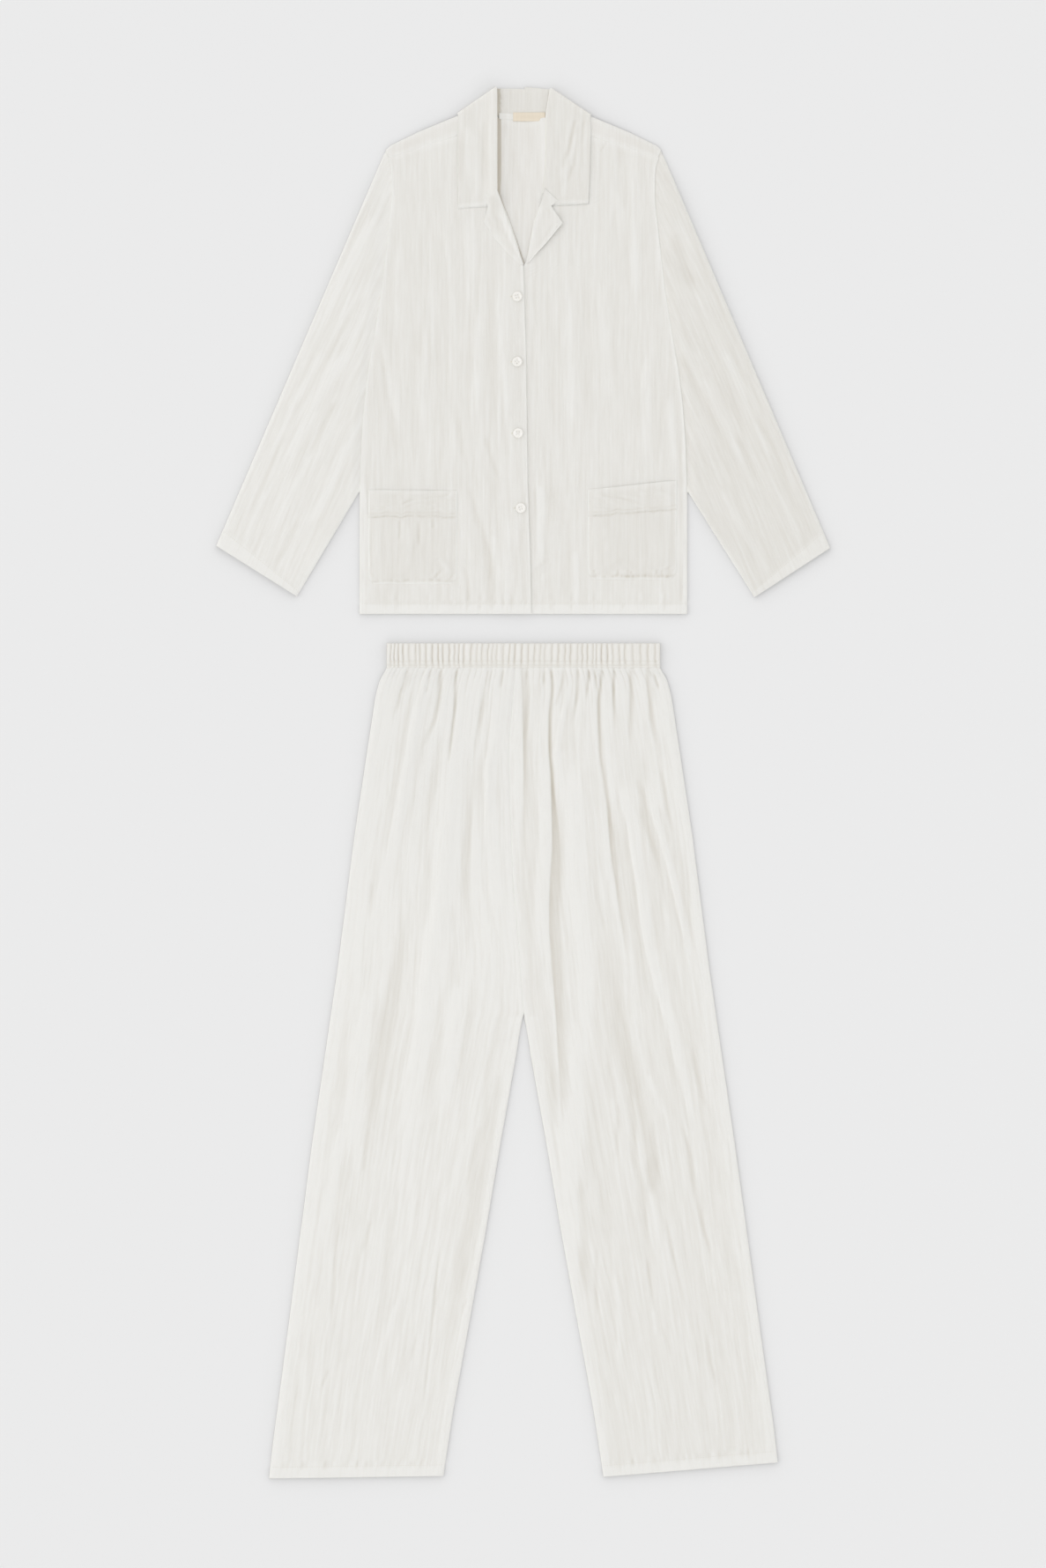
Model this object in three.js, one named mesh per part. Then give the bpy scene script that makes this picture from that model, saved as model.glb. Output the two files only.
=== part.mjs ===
import * as THREE from "three";

// Pyjama set laid flat: a jacket with a notched collar above a pair of wide trousers.
// Millimetres, +Z up. +X is the viewer's right, +Y runs up both garments.
// Left and right in the names are the viewer's.

// Cloth and the way its layers lie on each other
const cloth = 1.2;
const seamGap = 0.3;
const layer = cloth + seamGap;
const clearance = 0.15;
const hemStep = 0.6;
const hemPly = 0.2;

// Whole set
const jacketAboveTrousersHem = 1079;

// Jacket
const bodyHalf = 204.6;
const sideSeamTop = 153;
const jacketHem = 14;
const shoulderTip = { x: 172, y: 579.5 };
const stripSeam = 166.5;
const underlap = 19;
const lapelPly = 2;
const cuffHem = 13;
const cuffHemPly = 0.5;
const sleeveLoft = 1.6;
const buttonSize = 12.6;
const buttonThick = 2.6;
const holeSize = 1.6;
const holeOffset = 1.4;
const labelSize = { width: 40, height: 11, thick: 1 };
const labelPlace = { x: 7.2, y: 620.4 };
const onFront = 2 * layer + clearance;

// Trousers
const waistHalf = 170.5;
const waistTop = 1042.5;
const waistDepth = 30;
const legTop = waistTop - waistDepth - seamGap;
const crotchHeight = 578;
const gathers = 48;
const gatherHeight = 1.4;
const bandPly = 2.4;
const legHem = 15;
const leftLegHem = { start: 3, slope: -3 };
const rightLegHem = { start: 2, slope: 18 };

// Half width of the jacket body: side seam, then the armhole seam up to the shoulder
const armhole = [
  { y: 0, x: bodyHalf },
  { y: sideSeamTop, x: bodyHalf },
  { y: 217, x: 202.4 },
  { y: 261, x: 199.1 },
  { y: 305, x: 193.6 },
  { y: 343, x: 187 },
  { y: 404, x: 177.1 },
  { y: 470, x: 169.4 },
  { y: 514, x: 164.4 },
  { y: 554, x: 164.4 },
  { y: shoulderTip.y, x: shoulderTip.x },
];

// Fold of the shoulder from the neck to the sleeve, and the neckline of the back
const shoulderFold = [
  { x: 0, y: 618.4 },
  { x: 34, y: 621 },
  { x: 64, y: 632 },
  { x: 81.4, y: 622.3 },
  { x: 93.5, y: 617.3 },
  { x: 132, y: 601.5 },
  { x: 166, y: 585 },
  { x: shoulderTip.x, y: shoulderTip.y },
];

// Seam where the back, carried over the shoulder, meets the front
const forwardSeam = [
  { x: 64, y: 603 },
  { x: 170, y: 570 },
];

// Inner edge of the front on top: hem to first button, roll of the lapel, neck seam
const leftFrontEdge = [
  { y: 0, x: 10 },
  { y: 63, x: 8.8 },
  { y: 162, x: 5.5 },
  { y: 327, x: 3.3 },
  { y: 433, x: 0 },
  { y: 459, x: -6.6 },
  { y: 492, x: -17.6 },
  { y: 517.5, x: -28.5 },
  { y: 523.5, x: -54 },
  { y: 545, x: -66.2 },
  { y: 580, x: -68 },
  { y: 602, x: -68 },
];

// Inner edge of the front beneath
const rightFrontEdge = [
  { y: 0, x: -underlap },
  { y: 420, x: -underlap },
  { y: 437, x: 2.5 },
  { y: 492, x: 13.2 },
  { y: 517, x: 23 },
  { y: 523.5, x: 51 },
  { y: 545, x: 62.5 },
  { y: 577, x: 65.5 },
  { y: 602, x: 68 },
];

// Rows of a jacket front, hem to forward seam; drop is how much lower the armhole end lies
const frontRows = [
  { y: 0, drop: 0 },
  { y: jacketHem - hemStep, drop: 0 },
  { y: jacketHem, drop: 0 },
  { y: 80, drop: 0 },
  { y: sideSeamTop, drop: 0 },
  { y: 217, drop: 0 },
  { y: 261, drop: 0 },
  { y: 305, drop: 0 },
  { y: 343, drop: 0 },
  { y: 404, drop: 0 },
  { y: 424, drop: 0 },
  { y: 437, drop: 0 },
  { y: 472, drop: 2 },
  { y: 496, drop: 4 },
  { y: 518, drop: 6 },
  { y: 524, drop: 7 },
  { y: 546, drop: 14 },
  { y: 577, drop: 23 },
  { y: 601, drop: 32 },
];

// Folds of the jacket fronts: from and to points, height above the cloth and half width
const frontFolds = [
  { fromX: -172, fromY: 500, toX: -186, toY: 215, height: 2.2, width: 11 },
  { fromX: -138, fromY: 560, toX: -130, toY: 330, height: 1.6, width: 9 },
  { fromX: -108, fromY: 560, toX: -104, toY: 215, height: 1.8, width: 8 },
  { fromX: -70, fromY: 480, toX: -58, toY: 250, height: 2.0, width: 10 },
  { fromX: -66, fromY: 165, toX: -43, toY: 25, height: 2.0, width: 7 },
  { fromX: 42, fromY: 400, toX: 46, toY: 120, height: 1.6, width: 9 },
  { fromX: 78, fromY: 470, toX: 74, toY: 180, height: 1.5, width: 8 },
  { fromX: 112, fromY: 560, toX: 108, toY: 260, height: 2.2, width: 8 },
  { fromX: 142, fromY: 555, toX: 146, toY: 240, height: 1.8, width: 9 },
  { fromX: 158, fromY: 470, toX: 176, toY: 190, height: 1.6, width: 8 },
];

// Collar stations, left front end over the back neck to the right front end.
// seam joins the neck, roll is the fold, edge is the free edge, notch bends the end.
// At a station that turns, the collar passes over the shoulder on to the next list of stations.
const rightAngle = Math.PI / 2;
const shoulderTurns = [0, 0.5, 1, 1.5, 2];
const leftCollar = [
  { seam: [-52, 525], roll: [-34, 524], notch: [-45, 508], edge: [-81.4, 505] },
  { seam: [-64, 543], roll: [-34, 545], notch: [-46, 543], edge: [-82.4, 538] },
  { seam: [-67, 580], roll: [-34, 585], notch: [-46, 583], edge: [-82.4, 577] },
  { seam: [-66, 613], roll: [-34, 624], notch: [-46, 620], edge: [-82, 607] },
];
const leftShoulder = { seam: [-62.7, 635.6], roll: [-34, 655], notch: [-46, 647], edge: [-81.4, 622.6] };
const backCollar = [
  { seam: [-34, 622.3], roll: [-16, 654.8], notch: [-21, 645], edge: [-44, 606] },
  { seam: [0, 619], roll: [1, 654], notch: [1, 641], edge: [0, 603] },
  { seam: [34, 622.3], roll: [18, 653], notch: [23, 643], edge: [44, 606] },
];
const rightShoulder = { seam: [64, 633.8], roll: [36, 652.6], notch: [48, 644.5], edge: [83.4, 620.7] };
const rightCollar = [
  { seam: [66, 611], roll: [31, 622], notch: [43, 618], edge: [84.6, 604] },
  { seam: [63, 578], roll: [31, 584], notch: [43, 582], edge: [83.6, 574] },
  { seam: [59.5, 543], roll: [30, 548], notch: [42, 546], edge: [82.6, 540] },
  { seam: [47, 524], roll: [26.4, 523.5], notch: [37, 508.5], edge: [81.4, 511.5] },
];

// Lapels: rows from the lowest point up to the notch
const leftLapelRows = [
  { rollX: 0.4, rollY: 436, edgeX: -4, edgeY: 435.5 },
  { rollX: -3, rollY: 446, edgeX: -13, edgeY: 444 },
  { rollX: -7.5, rollY: 461, edgeX: -24, edgeY: 454.5 },
  { rollX: -13.5, rollY: 480, edgeX: -37.4, edgeY: 471 },
  { rollX: -19.5, rollY: 497, edgeX: -49.5, edgeY: 489.5 },
  { rollX: -28.6, rollY: 519.5, edgeX: -44.4, edgeY: 507 },
];
const rightLapelRows = [
  { rollX: 2.8, rollY: 438, edgeX: 7, edgeY: 438.5 },
  { rollX: 4.7, rollY: 448, edgeX: 16, edgeY: 449.5 },
  { rollX: 7.6, rollY: 462, edgeX: 28.6, edgeY: 463 },
  { rollX: 11, rollY: 480, edgeX: 39, edgeY: 476 },
  { rollX: 15.5, rollY: 497, edgeX: 47.3, edgeY: 487.3 },
  { rollX: 22.8, rollY: 517, edgeX: 35.8, edgeY: 507.4 },
];

// Patch pockets: corner, size and how far the outer end of the mouth stands higher
const pockets = [
  { name: "pocket_left", x: -193.6, y: 37.4, width: 111, height: 116.6, rise: 1, mouthSide: -1 },
  { name: "pocket_right", x: 80.3, y: 43, width: 111, height: 112, rise: 12, mouthSide: 1 },
];
const pocketBand = 33;
const pocketBandExtra = 0.5;
const pocketPuff = 0.9;
const pocketRows = [
  { share: 0, inset: 9.5 },
  { share: 0.025, inset: 4 },
  { share: 0.07, inset: 1 },
  { share: 0.12, inset: 0 },
  { share: 0.4, inset: 0 },
];

// Buttons down the front edge
const buttons = [
  { name: "button_1", x: -7.7, y: 396 },
  { name: "button_2", x: -7.7, y: 314.6 },
  { name: "button_3", x: -6.6, y: 225.5 },
  { name: "button_4", x: -3.3, y: 132 },
];

// Sleeve, for the right side; the left one is its mirror image
const sleeves = [
  { name: "sleeve_left", side: -1, cuffInner: { x: 282.7, y: 22 }, cuffOuter: { x: 383.5, y: 85 } },
  { name: "sleeve_right", side: 1, cuffInner: { x: 288.2, y: 20.9 }, cuffOuter: { x: 382.8, y: 82.5 } },
];
const sleeveStations = [0, 0.15, 0.32, 0.5, 0.7, 0.89, 0.9, 1];

// Outer and inner edge of a leg, hem to waist
const outerLeg = [
  { y: 0, x: 317.5 },
  { y: 41, x: 313 },
  { y: 196, x: 292.5 },
  { y: 416, x: 264 },
  { y: 636, x: 232 },
  { y: 801, x: 211 },
  { y: 911, x: 194.5 },
  { y: 977, x: 184.5 },
  { y: 999, x: 178.5 },
  { y: 1008, x: 172.5 },
  { y: legTop, x: waistHalf - 1 },
];
const inseam = [
  { y: 0, x: 100 },
  { y: 86, x: 87 },
  { y: 196, x: 67 },
  { y: 306, x: 47.3 },
  { y: 416, x: 29 },
  { y: 526, x: 9.4 },
  { y: 559, x: 4.4 },
  { y: crotchHeight, x: seamGap },
];
const centreSeam = [
  { y: crotchHeight, x: 1 },
  { y: 658, x: -4.4 },
  { y: 746, x: -12 },
  { y: 825, x: -15.4 },
  { y: 911, x: -17.6 },
  { y: legTop, x: -9 },
];

// Rows of a leg; hem is the share of the slanting hem that the row takes
const legRows = [
  { y: 0, hem: 1 },
  { y: legHem - hemStep, hem: 1 },
  { y: legHem, hem: 1 },
  { y: 130, hem: 0.7 },
  { y: 260, hem: 0.4 },
  { y: 380, hem: 0.15 },
  { y: 490, hem: 0 },
  { y: crotchHeight, hem: 0 },
  { y: 660, hem: 0 },
  { y: 746, hem: 0 },
  { y: 825, hem: 0 },
  { y: 890, hem: 0 },
  { y: 940, hem: 0 },
  { y: 980, hem: 0 },
  { y: 1003, hem: 0 },
  { y: legTop, hem: 0 },
];

// Folds that fall from the gathered waist: x at the waist and at the end, and the end's height
const legFolds = [
  { waistX: -163, endX: -187, endY: 880, height: 2.6, width: 5 },
  { waistX: -148, endX: -200, endY: 560, height: 2.8, width: 6 },
  { waistX: -134, endX: -156, endY: 850, height: 2.6, width: 5 },
  { waistX: -122, endX: -215, endY: 200, height: 2.9, width: 7 },
  { waistX: -109, endX: -124, endY: 860, height: 2.7, width: 5 },
  { waistX: -94, endX: -160, endY: 240, height: 3.1, width: 7 },
  { waistX: -78, endX: -96, endY: 760, height: 2.8, width: 6 },
  { waistX: -60, endX: -92, endY: 420, height: 3.0, width: 7 },
  { waistX: -38, endX: -46, endY: 560, height: 3.0, width: 7 },
  { waistX: -22, endX: -34, endY: 820, height: 2.6, width: 5 },
  { waistX: 10, endX: -2, endY: 760, height: 2.7, width: 6 },
  { waistX: 27, endX: 38, endY: 330, height: 3.4, width: 7 },
  { waistX: 45, endX: 56, endY: 700, height: 2.6, width: 6 },
  { waistX: 60, endX: 100, endY: 430, height: 2.9, width: 7 },
  { waistX: 74, endX: 84, endY: 860, height: 2.6, width: 5 },
  { waistX: 90, endX: 150, endY: 400, height: 3.1, width: 7 },
  { waistX: 106, endX: 196, endY: 260, height: 2.9, width: 7 },
  { waistX: 122, endX: 150, endY: 780, height: 2.7, width: 6 },
  { waistX: 138, endX: 226, endY: 330, height: 2.8, width: 7 },
  { waistX: 154, endX: 182, endY: 800, height: 2.6, width: 6 },
];

const gauze = new THREE.MeshStandardMaterial({ color: 0xefece4, roughness: 0.92, metalness: 0 });
const gauzeInside = new THREE.MeshStandardMaterial({ color: 0xe9e6de, roughness: 0.94, metalness: 0 });
const pearl = new THREE.MeshStandardMaterial({ color: 0xf1eadb, roughness: 0.3, metalness: 0 });
const labelCloth = new THREE.MeshStandardMaterial({ color: 0xe4d8c4, roughness: 0.85, metalness: 0 });

function between(a, b, share) {
  return a + (b - a) * share;
}

function limit(value, low = 0, high = 1) {
  return Math.min(high, Math.max(low, value));
}

function smooth(value) {
  const t = limit(value);
  return t * t * (3 - 2 * t);
}

// Value of one column of a table at a place along its key column
function read(rows, key, column, place) {
  let next = 1;
  while (next < rows.length - 1 && rows[next][key] < place) {
    next += 1;
  }
  const a = rows[next - 1];
  const b = rows[next];
  return between(a[column], b[column], limit((place - a[key]) / (b[key] - a[key])));
}

// Turns the faces of a closed mesh outwards
function facingOut(geometry) {
  const p = geometry.getAttribute("position");
  const index = geometry.getIndex().array;
  const corners = [new THREE.Vector3(), new THREE.Vector3(), new THREE.Vector3()];
  let volume = 0;
  for (let i = 0; i < index.length; i += 3) {
    corners.forEach((corner, k) => corner.fromBufferAttribute(p, index[i + k]));
    volume += corners[0].dot(corners[1].clone().cross(corners[2]));
  }
  if (volume < 0) {
    for (let i = 0; i < index.length; i += 3) {
      [index[i], index[i + 1]] = [index[i + 1], index[i]];
    }
  }
  geometry.computeVertexNormals();
  return geometry;
}

// Closed wall between two grids of points; a ring's rows close on themselves
function wall(upper, lower, ring = false) {
  const rows = upper.length;
  const columns = upper[0].length;
  const points = [...upper.flat(), ...lower.flat()];
  const at = (side, r, c) => side * rows * columns + r * columns + (c % columns);
  const index = [];
  const quad = (a, b, c, d) => index.push(a, b, c, a, c, d);
  const lastColumn = ring ? columns : columns - 1;
  for (let r = 0; r < rows - 1; r += 1) {
    for (let c = 0; c < lastColumn; c += 1) {
      quad(at(0, r, c), at(0, r, c + 1), at(0, r + 1, c + 1), at(0, r + 1, c));
      quad(at(1, r, c), at(1, r + 1, c), at(1, r + 1, c + 1), at(1, r, c + 1));
    }
    if (!ring) {
      quad(at(0, r, 0), at(0, r + 1, 0), at(1, r + 1, 0), at(1, r, 0));
      const end = lastColumn;
      quad(at(1, r, end), at(1, r + 1, end), at(0, r + 1, end), at(0, r, end));
    }
  }
  const top = rows - 1;
  for (let c = 0; c < lastColumn; c += 1) {
    quad(at(1, 0, c), at(1, 0, c + 1), at(0, 0, c + 1), at(0, 0, c));
    quad(at(0, top, c), at(0, top, c + 1), at(1, top, c + 1), at(1, top, c));
  }
  const geometry = new THREE.BufferGeometry();
  const places = points.flatMap((v) => [v.x, v.y, v.z]);
  geometry.setAttribute("position", new THREE.Float32BufferAttribute(places, 3));
  geometry.setIndex(index);
  return facingOut(geometry);
}

// Plate from a grid of { x, y, under, over } points
function plate(grid) {
  const upper = grid.map((row) => row.map((p) => new THREE.Vector3(p.x, p.y, p.over)));
  const lower = grid.map((row) => row.map((p) => new THREE.Vector3(p.x, p.y, p.under)));
  return wall(upper, lower);
}

function piece(name, geometry, material) {
  const mesh = new THREE.Mesh(geometry, material);
  mesh.name = name;
  return mesh;
}

// Height of a soft straight fold at a point, fading to nothing at both its ends
function foldHeight(fold, x, y) {
  const alongX = fold.toX - fold.fromX;
  const alongY = fold.toY - fold.fromY;
  const length = Math.hypot(alongX, alongY);
  const place = ((x - fold.fromX) * alongX + (y - fold.fromY) * alongY) / length ** 2;
  const off = ((x - fold.fromX) * alongY - (y - fold.fromY) * alongX) / length;
  const ends = smooth(place / 0.2) * smooth((1 - place) / 0.3);
  return fold.height * ends * Math.exp(-((off / fold.width) ** 2));
}

// The collar's fall passes under the back at the neck and lifts what lies on it
function neckLift(x, y) {
  return layer * limit((y - 540) / 60) * limit((150 - Math.abs(x)) / 50);
}

function jacketBack() {
  const shares = [0, 0.1, 0.198, 0.3, 0.404, 0.409, 0.49, 0.6, 0.8, 1];
  const across = [...shares.slice(1).reverse().map((s) => -s), ...shares];
  const rowHeights = [0, sideSeamTop, 217, 261, 305, 343, 404, 470, 514, 554];
  const grid = rowHeights.map((y) => across.map((share) => {
    const x = share * read(armhole, "y", "x", y);
    const lift = neckLift(x, y);
    return { x, y, under: lift, over: lift + cloth };
  }));
  const edges = [
    { toFold: 0, strip: false, round: 0 },
    { toFold: 0.02, strip: true, round: 0 },
    { toFold: 0.93, strip: true, round: 0 },
    { toFold: 1, strip: true, round: 0.45 },
  ];
  for (const edge of edges) {
    grid.push(across.map((share) => {
      const onStrip = Math.abs(share) > 0.405;
      const x = share * between(stripSeam, shoulderTip.x, edge.toFold);
      const fold = read(shoulderFold, "x", "y", Math.abs(x));
      const seam = read(forwardSeam, "x", "y", Math.abs(x)) - seamGap;
      const y = between(seam, fold, edge.toFold);
      const lift = neckLift(x, y);
      const high = onStrip && edge.strip ? cloth + layer : cloth;
      const rounding = high * edge.round * 0.7;
      return { x, y, under: lift + rounding, over: lift + high - rounding };
    }));
  }
  return piece("jacket_back", plate(grid), gauzeInside);
}

// Folds fade where a pocket, the button edge, the collar or a lapel lies on the cloth
function frontRelief(x, y) {
  const pocketZone = smooth((y - 172) / 30) + smooth((78 - Math.abs(x)) / 8);
  const neckZone = smooth((Math.abs(x) - 88) / 12) + smooth((420 - y) / 30);
  const edgeZone = smooth((Math.abs(x) - 26) / 14);
  const clear = limit(pocketZone) * limit(neckZone) * edgeZone;
  const total = frontFolds.reduce((sum, fold) => sum + foldHeight(fold, x, y), 0);
  return total * clear * smooth((y - jacketHem) / 20);
}

// The front on top climbs over the one beneath along the button edge
function overlapLift(x, y) {
  return layer * limit((x + 46) / 24) * limit((475 - y) / 35);
}

function jacketFront(name, side) {
  const innerEdge = side < 0 ? leftFrontEdge : rightFrontEdge;
  const steps = 15;
  const grid = frontRows.map((row) => {
    const points = [];
    for (let c = 0; c <= steps; c += 1) {
      const share = c / steps;
      const toInner = side < 0 ? share : 1 - share;
      const y = row.y - row.drop * (1 - toInner);
      const inner = read(innerEdge, "y", "x", row.y);
      const outer = side * (read(armhole, "y", "x", y) - 0.2);
      const x = between(outer, inner, toInner);
      const lift = neckLift(x, y) + (side < 0 ? overlapLift(x, y) : 0);
      const edge = smooth((1 - toInner) * 12);
      const under = layer + 0.05 + lift + frontRelief(x, y) * edge;
      const turnedUp = row.y < jacketHem ? hemPly : 0;
      points.push({ x, y, under, over: under + cloth + turnedUp });
    }
    return points;
  });
  return piece(name, plate(grid), gauze);
}

// Flattened tube from the armhole seam to the cuff, its sections spaced as the armhole's rows
function sleeve({ name, side, cuffInner, cuffOuter }) {
  const seamRows = armhole.filter((row) => row.y >= sideSeamTop);
  const seamLength = shoulderTip.y - sideSeamTop;
  const acrossList = seamRows.map((row) => (row.y - sideSeamTop) / seamLength);
  const cuffWidth = Math.hypot(cuffOuter.x - cuffInner.x, cuffOuter.y - cuffInner.y);
  const ring = (station, inset) => {
    const width = between(seamLength, cuffWidth, station);
    const drawnIn = inset / width;
    const point = (across, height) => {
      const y = sideSeamTop + seamLength * across;
      const seamX = read(armhole, "y", "x", y) + seamGap;
      const cuffX = between(cuffInner.x, cuffOuter.x, across);
      const cuffY = between(cuffInner.y, cuffOuter.y, across);
      return new THREE.Vector3(side * between(seamX, cuffX, station), between(y, cuffY, station), height);
    };
    const loft = sleeveLoft * smooth(station / 0.25) * (1 - 0.6 * smooth((station - 0.7) / 0.3));
    const hem = station > 1 - cuffHem / 130 ? cuffHemPly : 0;
    const top = (across) => {
      const dome = Math.sin(Math.PI * across);
      const ripple = 0.8 * Math.sin(11 * across + 2.5 * station) * dome * smooth(station / 0.2);
      return 2 * layer + 0.3 + dome * loft + ripple * (1 - smooth((station - 0.75) / 0.2)) + hem;
    };
    const edge = 0.006;
    const spread = acrossList.map((across) => between(edge + drawnIn, 1 - edge - drawnIn, across));
    const low = spread.map((across) => point(across, inset));
    const high = spread.map((across) => point(across, top(across) - inset)).reverse();
    const middle = layer + 0.15;
    return [...low, point(1 - drawnIn, middle), ...high, point(drawnIn, middle)];
  };
  const outer = sleeveStations.map((station) => ring(station, 0));
  const inner = sleeveStations.map((station) => ring(station, cloth));
  return piece(name, wall(outer, inner, true), gauze);
}

// One section of the collar: stand from the neck seam, roll, and fall to the free edge.
// turn is the angle, in right angles, through which it has passed over the shoulder.
function collarSection({ seam, roll, notch, edge, turn }) {
  const bend = layer / 2;
  const length = Math.hypot(roll[0] - seam[0], roll[1] - seam[1]);
  const ahead = [(roll[0] - seam[0]) / length, (roll[1] - seam[1]) / length];
  const outward = [Math.sign(seam[0]) * Math.abs(ahead[1]), Math.abs(ahead[0])];
  const level = 2 * cloth + layer * 0.3;
  const points = [];
  const add = (x, y, reach) => {
    const lower = turn === 0 ? neckLift(x, y) - layer : 0;
    const sideways = reach * Math.sin(turn * rightAngle);
    const upward = reach * Math.cos(turn * rightAngle);
    const height = level + upward + lower;
    points.push(new THREE.Vector3(x + outward[0] * sideways, y + outward[1] * sideways, height));
  };
  for (const share of [0, 0.5, 0.96]) {
    add(between(seam[0], roll[0], share), between(seam[1], roll[1], share), bend);
  }
  for (const angle of [0.25, 0.5, 0.75]) {
    const along = bend * Math.sin(Math.PI * angle);
    const reach = 2 * bend - bend * Math.cos(Math.PI * angle);
    add(roll[0] + ahead[0] * along, roll[1] + ahead[1] * along, reach);
  }
  add(between(roll[0], notch[0], 0.1), between(roll[1], notch[1], 0.1), 3 * bend);
  add(notch[0], notch[1], 3 * bend);
  for (const share of [0.35, 0.7, 1]) {
    add(between(notch[0], edge[0], share), between(notch[1], edge[1], share), 3 * bend);
  }
  return points;
}

function collar() {
  const turning = [...shoulderTurns].reverse();
  const stations = [
    ...leftCollar.map((station) => ({ ...station, turn: 0 })),
    ...shoulderTurns.map((turn) => ({ ...leftShoulder, turn })),
    ...backCollar.map((station) => ({ ...station, turn: 2 })),
    ...turning.map((turn) => ({ ...rightShoulder, turn })),
    ...rightCollar.map((station) => ({ ...station, turn: 0 })),
  ];
  const middle = stations.map(collarSection);
  const offset = (amount) => middle.map((row, r) => row.map((point, c) => {
    const alongA = middle[Math.max(r - 1, 0)][c];
    const alongB = middle[Math.min(r + 1, middle.length - 1)][c];
    const acrossA = row[Math.max(c - 1, 0)];
    const acrossB = row[Math.min(c + 1, row.length - 1)];
    const normal = alongB.clone().sub(alongA).cross(acrossB.clone().sub(acrossA)).normalize();
    return point.clone().addScaledVector(normal, amount);
  }));
  return piece("collar", wall(offset(cloth / 2), offset(-cloth / 2)), gauze);
}

function lapel(name, rows, side) {
  const steps = 4;
  const grid = rows.map((row) => {
    const points = [];
    for (let c = 0; c <= steps; c += 1) {
      const share = side < 0 ? 1 - c / steps : c / steps;
      const x = between(row.rollX, row.edgeX, share);
      const y = between(row.rollY, row.edgeY, share);
      const lift = side < 0 ? overlapLift(x, y) : 0;
      const under = onFront + lift;
      const rounding = share === 0 || share === 1 ? 0.7 : 0;
      points.push({ x, y, under, over: under + lapelPly - rounding });
    }
    return points;
  });
  return piece(name, plate(grid), gauze);
}

function pocket({ name, x, y, width, height, rise, mouthSide }) {
  const steps = 8;
  const bandShare = 1 - pocketBand / height;
  const rows = [
    ...pocketRows,
    { share: bandShare - 0.006, inset: 0 },
    { share: bandShare, inset: 0, band: 1 },
    { share: 0.86, inset: 0, band: 1.5 },
    { share: 0.99, inset: 0, band: 1 },
    { share: 1, inset: 0, band: 0.4 },
  ];
  const grid = rows.map((row) => {
    const points = [];
    for (let c = 0; c <= steps; c += 1) {
      const share = c / steps;
      const toMouth = mouthSide < 0 ? 1 - share : share;
      const px = x + between(row.inset, width - row.inset, share);
      const py = y + row.share * (height + rise * toMouth);
      const fullUp = Math.sin(Math.PI * Math.min(1, row.share * 1.1));
      const puff = pocketPuff * Math.sin(Math.PI * share) * fullUp;
      const over = onFront + cloth + puff + pocketBandExtra * (row.band ?? 0);
      points.push({ x: px, y: py, under: onFront, over });
    }
    return points;
  });
  return piece(name, plate(grid), gauze);
}

// Points of a circle, for an outline or a hole in it
function circle(centreX, centreY, radius, sides) {
  return Array.from({ length: sides }, (_, k) => {
    const angle = (2 * Math.PI * k) / sides;
    return new THREE.Vector2(centreX + radius * Math.cos(angle), centreY + radius * Math.sin(angle));
  });
}

// Shirt button with four sewing holes
function button({ name, x, y }) {
  const disc = new THREE.Shape(circle(0, 0, buttonSize / 2, 24));
  for (const [alongX, alongY] of [[-1, -1], [1, -1], [1, 1], [-1, 1]]) {
    disc.holes.push(new THREE.Path(circle(alongX * holeOffset, alongY * holeOffset, holeSize / 2, 6)));
  }
  const geometry = new THREE.ExtrudeGeometry(disc, { depth: buttonThick, bevelEnabled: false });
  const mesh = piece(name, geometry, pearl);
  mesh.position.set(x, y, onFront + layer - 0.05);
  return mesh;
}

function neckLabel() {
  const { width, height, thick } = labelSize;
  const mesh = piece("neck_label", new THREE.BoxGeometry(width, height, thick), labelCloth);
  mesh.position.set(labelPlace.x, labelPlace.y, onFront + thick / 2);
  return mesh;
}

function legRelief(x, y) {
  let total = 0;
  for (const fold of legFolds) {
    const place = (legTop - y) / (legTop - fold.endY);
    const centre = between(fold.waistX, fold.endX, place);
    const width = fold.width * (1 + 0.8 * limit(place));
    const fade = smooth((1 - place) / 0.8);
    total += fold.height * fade * Math.exp(-(((x - centre) / width) ** 2));
  }
  return limit(total, 0, 3.4) * smooth((y - legHem - 5) / 60);
}

function leg(name, side, front) {
  const steps = front ? 26 : 5;
  const hem = side < 0 ? leftLegHem : rightLegHem;
  const last = legRows.length - 1;
  const rows = front ? legRows : legRows.filter((row, r) => r < 3 || r % 2 === 1 || r === last);
  const grid = rows.map((row) => {
    const points = [];
    for (let c = 0; c <= steps; c += 1) {
      const share = c / steps;
      const toOuter = side < 0 ? 1 - share : share;
      const y = row.y + row.hem * (hem.slope * toOuter + hem.start);
      const upper = row.y >= crotchHeight;
      const inner = upper ? read(centreSeam, "y", "x", y) + side * 0.2 : side * read(inseam, "y", "x", y);
      const outer = side * read(outerLeg, "y", "x", y);
      const x = between(inner, outer, toOuter);
      const edge = smooth(toOuter * 14) * smooth((1 - toOuter) * 14);
      const turnedUp = row.y < legHem ? hemPly : 0;
      const under = front ? layer + 0.2 + legRelief(x, y) * edge : 0;
      points.push({ x, y, under, over: under + cloth + turnedUp });
    }
    return points;
  });
  return piece(name, plate(grid), front ? gauze : gauzeInside);
}

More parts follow.
